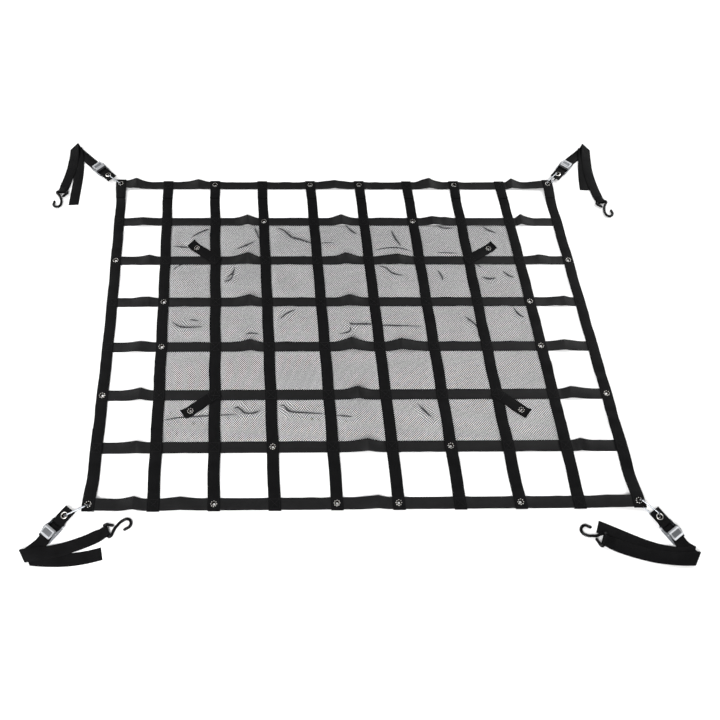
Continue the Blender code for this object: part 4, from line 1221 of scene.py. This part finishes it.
def folded_strand(start, strand, low, high):
    """Rows of one strand from the buckle, over its slanting fold, to where its leg leaves."""
    fold = Vector((*strand[:2], 0))
    into = (fold - start).normalized()
    out = heading(strand[4])
    crease = (into + out).normalized()
    slant = abs(into.cross(crease).z)
    half = crease * (HALF_WEB / slant)
    left = left_of(into) * HALF_WEB
    if half.dot(left) > 0:
        half = -half
    normal = (into - crease * into.dot(crease)).normalized()
    tight = (high - low) / 2
    open_bend = tight + strand[6] / 2000
    turns_left = into.cross(out).z > 0
    bends = (tight, open_bend) if turns_left else (open_bend, tight)
    skew = HALF_WEB * abs(into.dot(crease)) / slant
    before = fold - into * (skew + EASE) + up(low)
    rows = [(before + left, before - left, EASE)]
    for k in range(9):
        angle = math.radians(22.5 * k)
        drift = crease * (tight * angle / slant * into.dot(crease))
        ends = []
        for way, bend in zip((-1, 1), bends):
            lift = up(low + bend * (1 - math.cos(angle)))
            ends.append(fold + drift + half * way + normal * (bend * math.sin(angle)) + lift)
        rows.append((*ends, 0.0004))
    leave = fold + crease * (tight * math.pi / slant * into.dot(crease))
    flipped = -1 if left_of(out).dot(half) < 0 else 1
    return rows, leave, skew, flipped, turns_left


def leg_place(leave, strand, run):
    """Place and heading on a leg's curved middle line at a run from its fold."""
    end = Vector((*strand[2:4], 0))
    chord = (end - leave).length
    first, last = heading(strand[4]) * chord, heading(strand[5]) * chord
    t = run / chord
    if t >= 1:
        return end + heading(strand[5]) * (run - chord), heading(strand[5])
    place = leave * (2 * t**3 - 3 * t**2 + 1) + first * (t**3 - 2 * t**2 + t)
    place += end * (3 * t**2 - 2 * t**3) + last * (t**3 - t**2)
    aim = (end - leave) * (6 * t - 6 * t**2)
    aim += first * (3 * t**2 - 4 * t + 1) + last * (3 * t**2 - 2 * t)
    return place, aim.normalized()


def leg_rows(leave, strand, flipped, turns_left, stations, reach=0.010):
    """Rows of a leg from stations of run from the fold, height and share of its width."""
    rows = []
    for run, height, share in filled(stations):
        place, aim = leg_place(leave, strand, run)
        side = left_of(aim) * (HALF_WEB * share * flipped)
        peak = up(strand[6] / 1000 * max(0.0, 1 - run / PEAK_RUN))
        left_up, right_up = (up(0), peak) if turns_left else (peak, up(0))
        place.z = height
        rows.append((place - side + left_up, place + side + right_up, reach))
    return rows


hook_seats = {}
for name, (bar, along, _) in seats.items():
    hook_leg, free_leg, curl, stacked = LEGS[name]
    frame_back = bar + along * BACK_RUN
    levels = [HALF_PLY + PLY * k for k in range(4)]
    over_floor = FLOOR_LOW + FLOOR_THICK + CLEAR + HALF_PLY
    bend = (over_floor - HALF_PLY) / 2

    hook_rows, leave, skew, flipped, turns_left = folded_strand(frame_back, hook_leg, levels[0], levels[3])
    hook_end = Vector((*hook_leg[2:4], 0))
    reach = (hook_end - leave).length
    ply = levels[0] if stacked else levels[1]
    stations = [(skew + 0.004, levels[3], 1), (0.078, levels[3], 1), (0.104, levels[1], 1)]
    if stacked:
        stations.append((stacked, levels[1], 1))
    narrow = HOOK_WEB / WEB_WIDTH
    stations += [(reach - 0.028, ply, 1), (reach - 0.010, ply, narrow)]
    hook_rows += leg_rows(leave, hook_leg, flipped, turns_left, stations)
    wrap = HOOK_WIRE + 2 * CLEAR + HALF_PLY
    lap = ply + PLY + 0.0002
    loop = [(run, height, narrow) for run, height in arc((reach, ply + wrap), wrap, -90, 90, 10)]
    loop += [(reach - 0.016, lap + 0.0042, narrow), (reach - 0.030, lap, 1), (reach - HOOK_LAP, lap, 1)]
    hook_rows += leg_rows(leave, hook_leg, flipped, turns_left, loop, 0.002)
    hook_seats[name] = (hook_end, heading(hook_leg[5]), ply + wrap, curl)

    free_rows, leave, skew, flipped, turns_left = folded_strand(frame_back, free_leg, levels[1], levels[2])
    reach = (Vector((*free_leg[2:4], 0)) - leave).length
    stations = [(skew + 0.004, levels[2], 1), (0.074, levels[2], 1), (0.100, levels[0], 1)]
    free_rows += leg_rows(leave, free_leg, flipped, turns_left, stations + [(reach, levels[0], 1)])

    through = [(BACK_RUN, levels[0], EASE)]
    through += [(run, height, 0.0004) for run, height in arc((FLOOR_FRONT, HALF_PLY + bend), bend, -90, -270, 10)]
    through += [(0.058, over_floor, 0.004), (0.078, levels[1], EASE)]
    rows = hook_rows[::-1] + rows_along(bar, along, through, way=-1) + free_rows
    webbing(f"long_web_{name}", rows, ())

# -------- wire hooks
# Each hook is 7 mm steel rod dipped in black vinyl: a three-cornered eye in the web's
# end, a short shank and an open bend with a rounded tip. HOOK_WIRE takes in the coat.

# Vinyl dip: a deep black skin with a wet gloss and slow ripples.
DIPPED_VINYL = grained(
    "dipped_black_vinyl", "#070708", 0.2, (120.0, 2.0), dull=(0.08, 0.18), relief=(0.12, 0.001), ior=1.52,
    specular=0.12,
)

HOOK_PATH = [
    # run from the bar, sideways, in millimetres
    (21.5, -7), (14, -13), (7.5, -18.5), (2.6, -19.5), (0, -16), (0, 16), (2.6, 20),
    (7.5, 19.5), (15, 12), (25, 3.6), (35, -1), (45, -5),
]
BEND_RUN, BEND_SIDE, BEND = 58.0, 8.0, 14.0

for name, (bar, out, bar_height, curl) in hook_seats.items():
    path = list(HOOK_PATH)
    for k in range(9):
        angle = math.radians(-95 + 22.5 * k)
        path.append((BEND_RUN + BEND * math.cos(angle), BEND_SIDE + BEND * math.sin(angle)))
    path.append((47.5, BEND_SIDE + BEND * 0.98))
    left = left_of(out) * curl
    points = []
    for run, sideways in path:
        share = min(1.0, max(0.0, run / BEND_RUN))
        height = bar_height + (HOOK_WIRE - bar_height) * share
        points.append(bar + out * (run / 1000) + left * (sideways / 1000) + up(height))
    piece = bent_wire(f"wire_hook_{name}_dipped", rounded(points), HOOK_WIRE, DIPPED_VINYL)
    wear(piece, "hook_vinyl", f"wire_hook_{name}")

# -------- ground and light
# The net lies on a seamless white ground under broad, soft light from above, so its
# shadows are faint.
SEAMLESS_WHITE = new_material("seamless_white_ground", "#f9f9f9", 0.9)[0]
ground_shape = bmesh.new()
bmesh.ops.create_grid(ground_shape, x_segments=2, y_segments=2, size=8)
bmesh.ops.translate(ground_shape, verts=ground_shape.verts, vec=(0, 0, -0.0002))
ground = new_piece("ground", ground_shape, SEAMLESS_WHITE, smooth=False)

sky = bpy.data.worlds.new("white_room")
sky.use_nodes = True
sky.node_tree.nodes["Background"].inputs["Color"].default_value = (1, 1, 1, 1)
sky.node_tree.nodes["Background"].inputs["Strength"].default_value = 0.30
bpy.context.scene.world = sky

LAMPS = [
    # name, place, size, power
    ("near_panel", (-0.7, -2.7, 2.6), 2.4, 150),
    ("left_panel", (-2.9, 1.5, 2.7), 2.4, 80),
    ("right_panel", (2.9, 1.9, 2.7), 2.4, 110),
]
for name, place, size, power in LAMPS:
    panel = bpy.data.lights.new(name, "AREA")
    panel.shape = "DISK"
    panel.size = size
    panel.energy = power
    lamp = bpy.data.objects.new(name, panel)
    lamp.location = place
    lamp.rotation_euler = (-Vector(place)).to_track_quat("-Z", "Y").to_euler()
    bpy.context.collection.objects.link(lamp)
bpy.context.scene.view_settings.view_transform = "Standard"
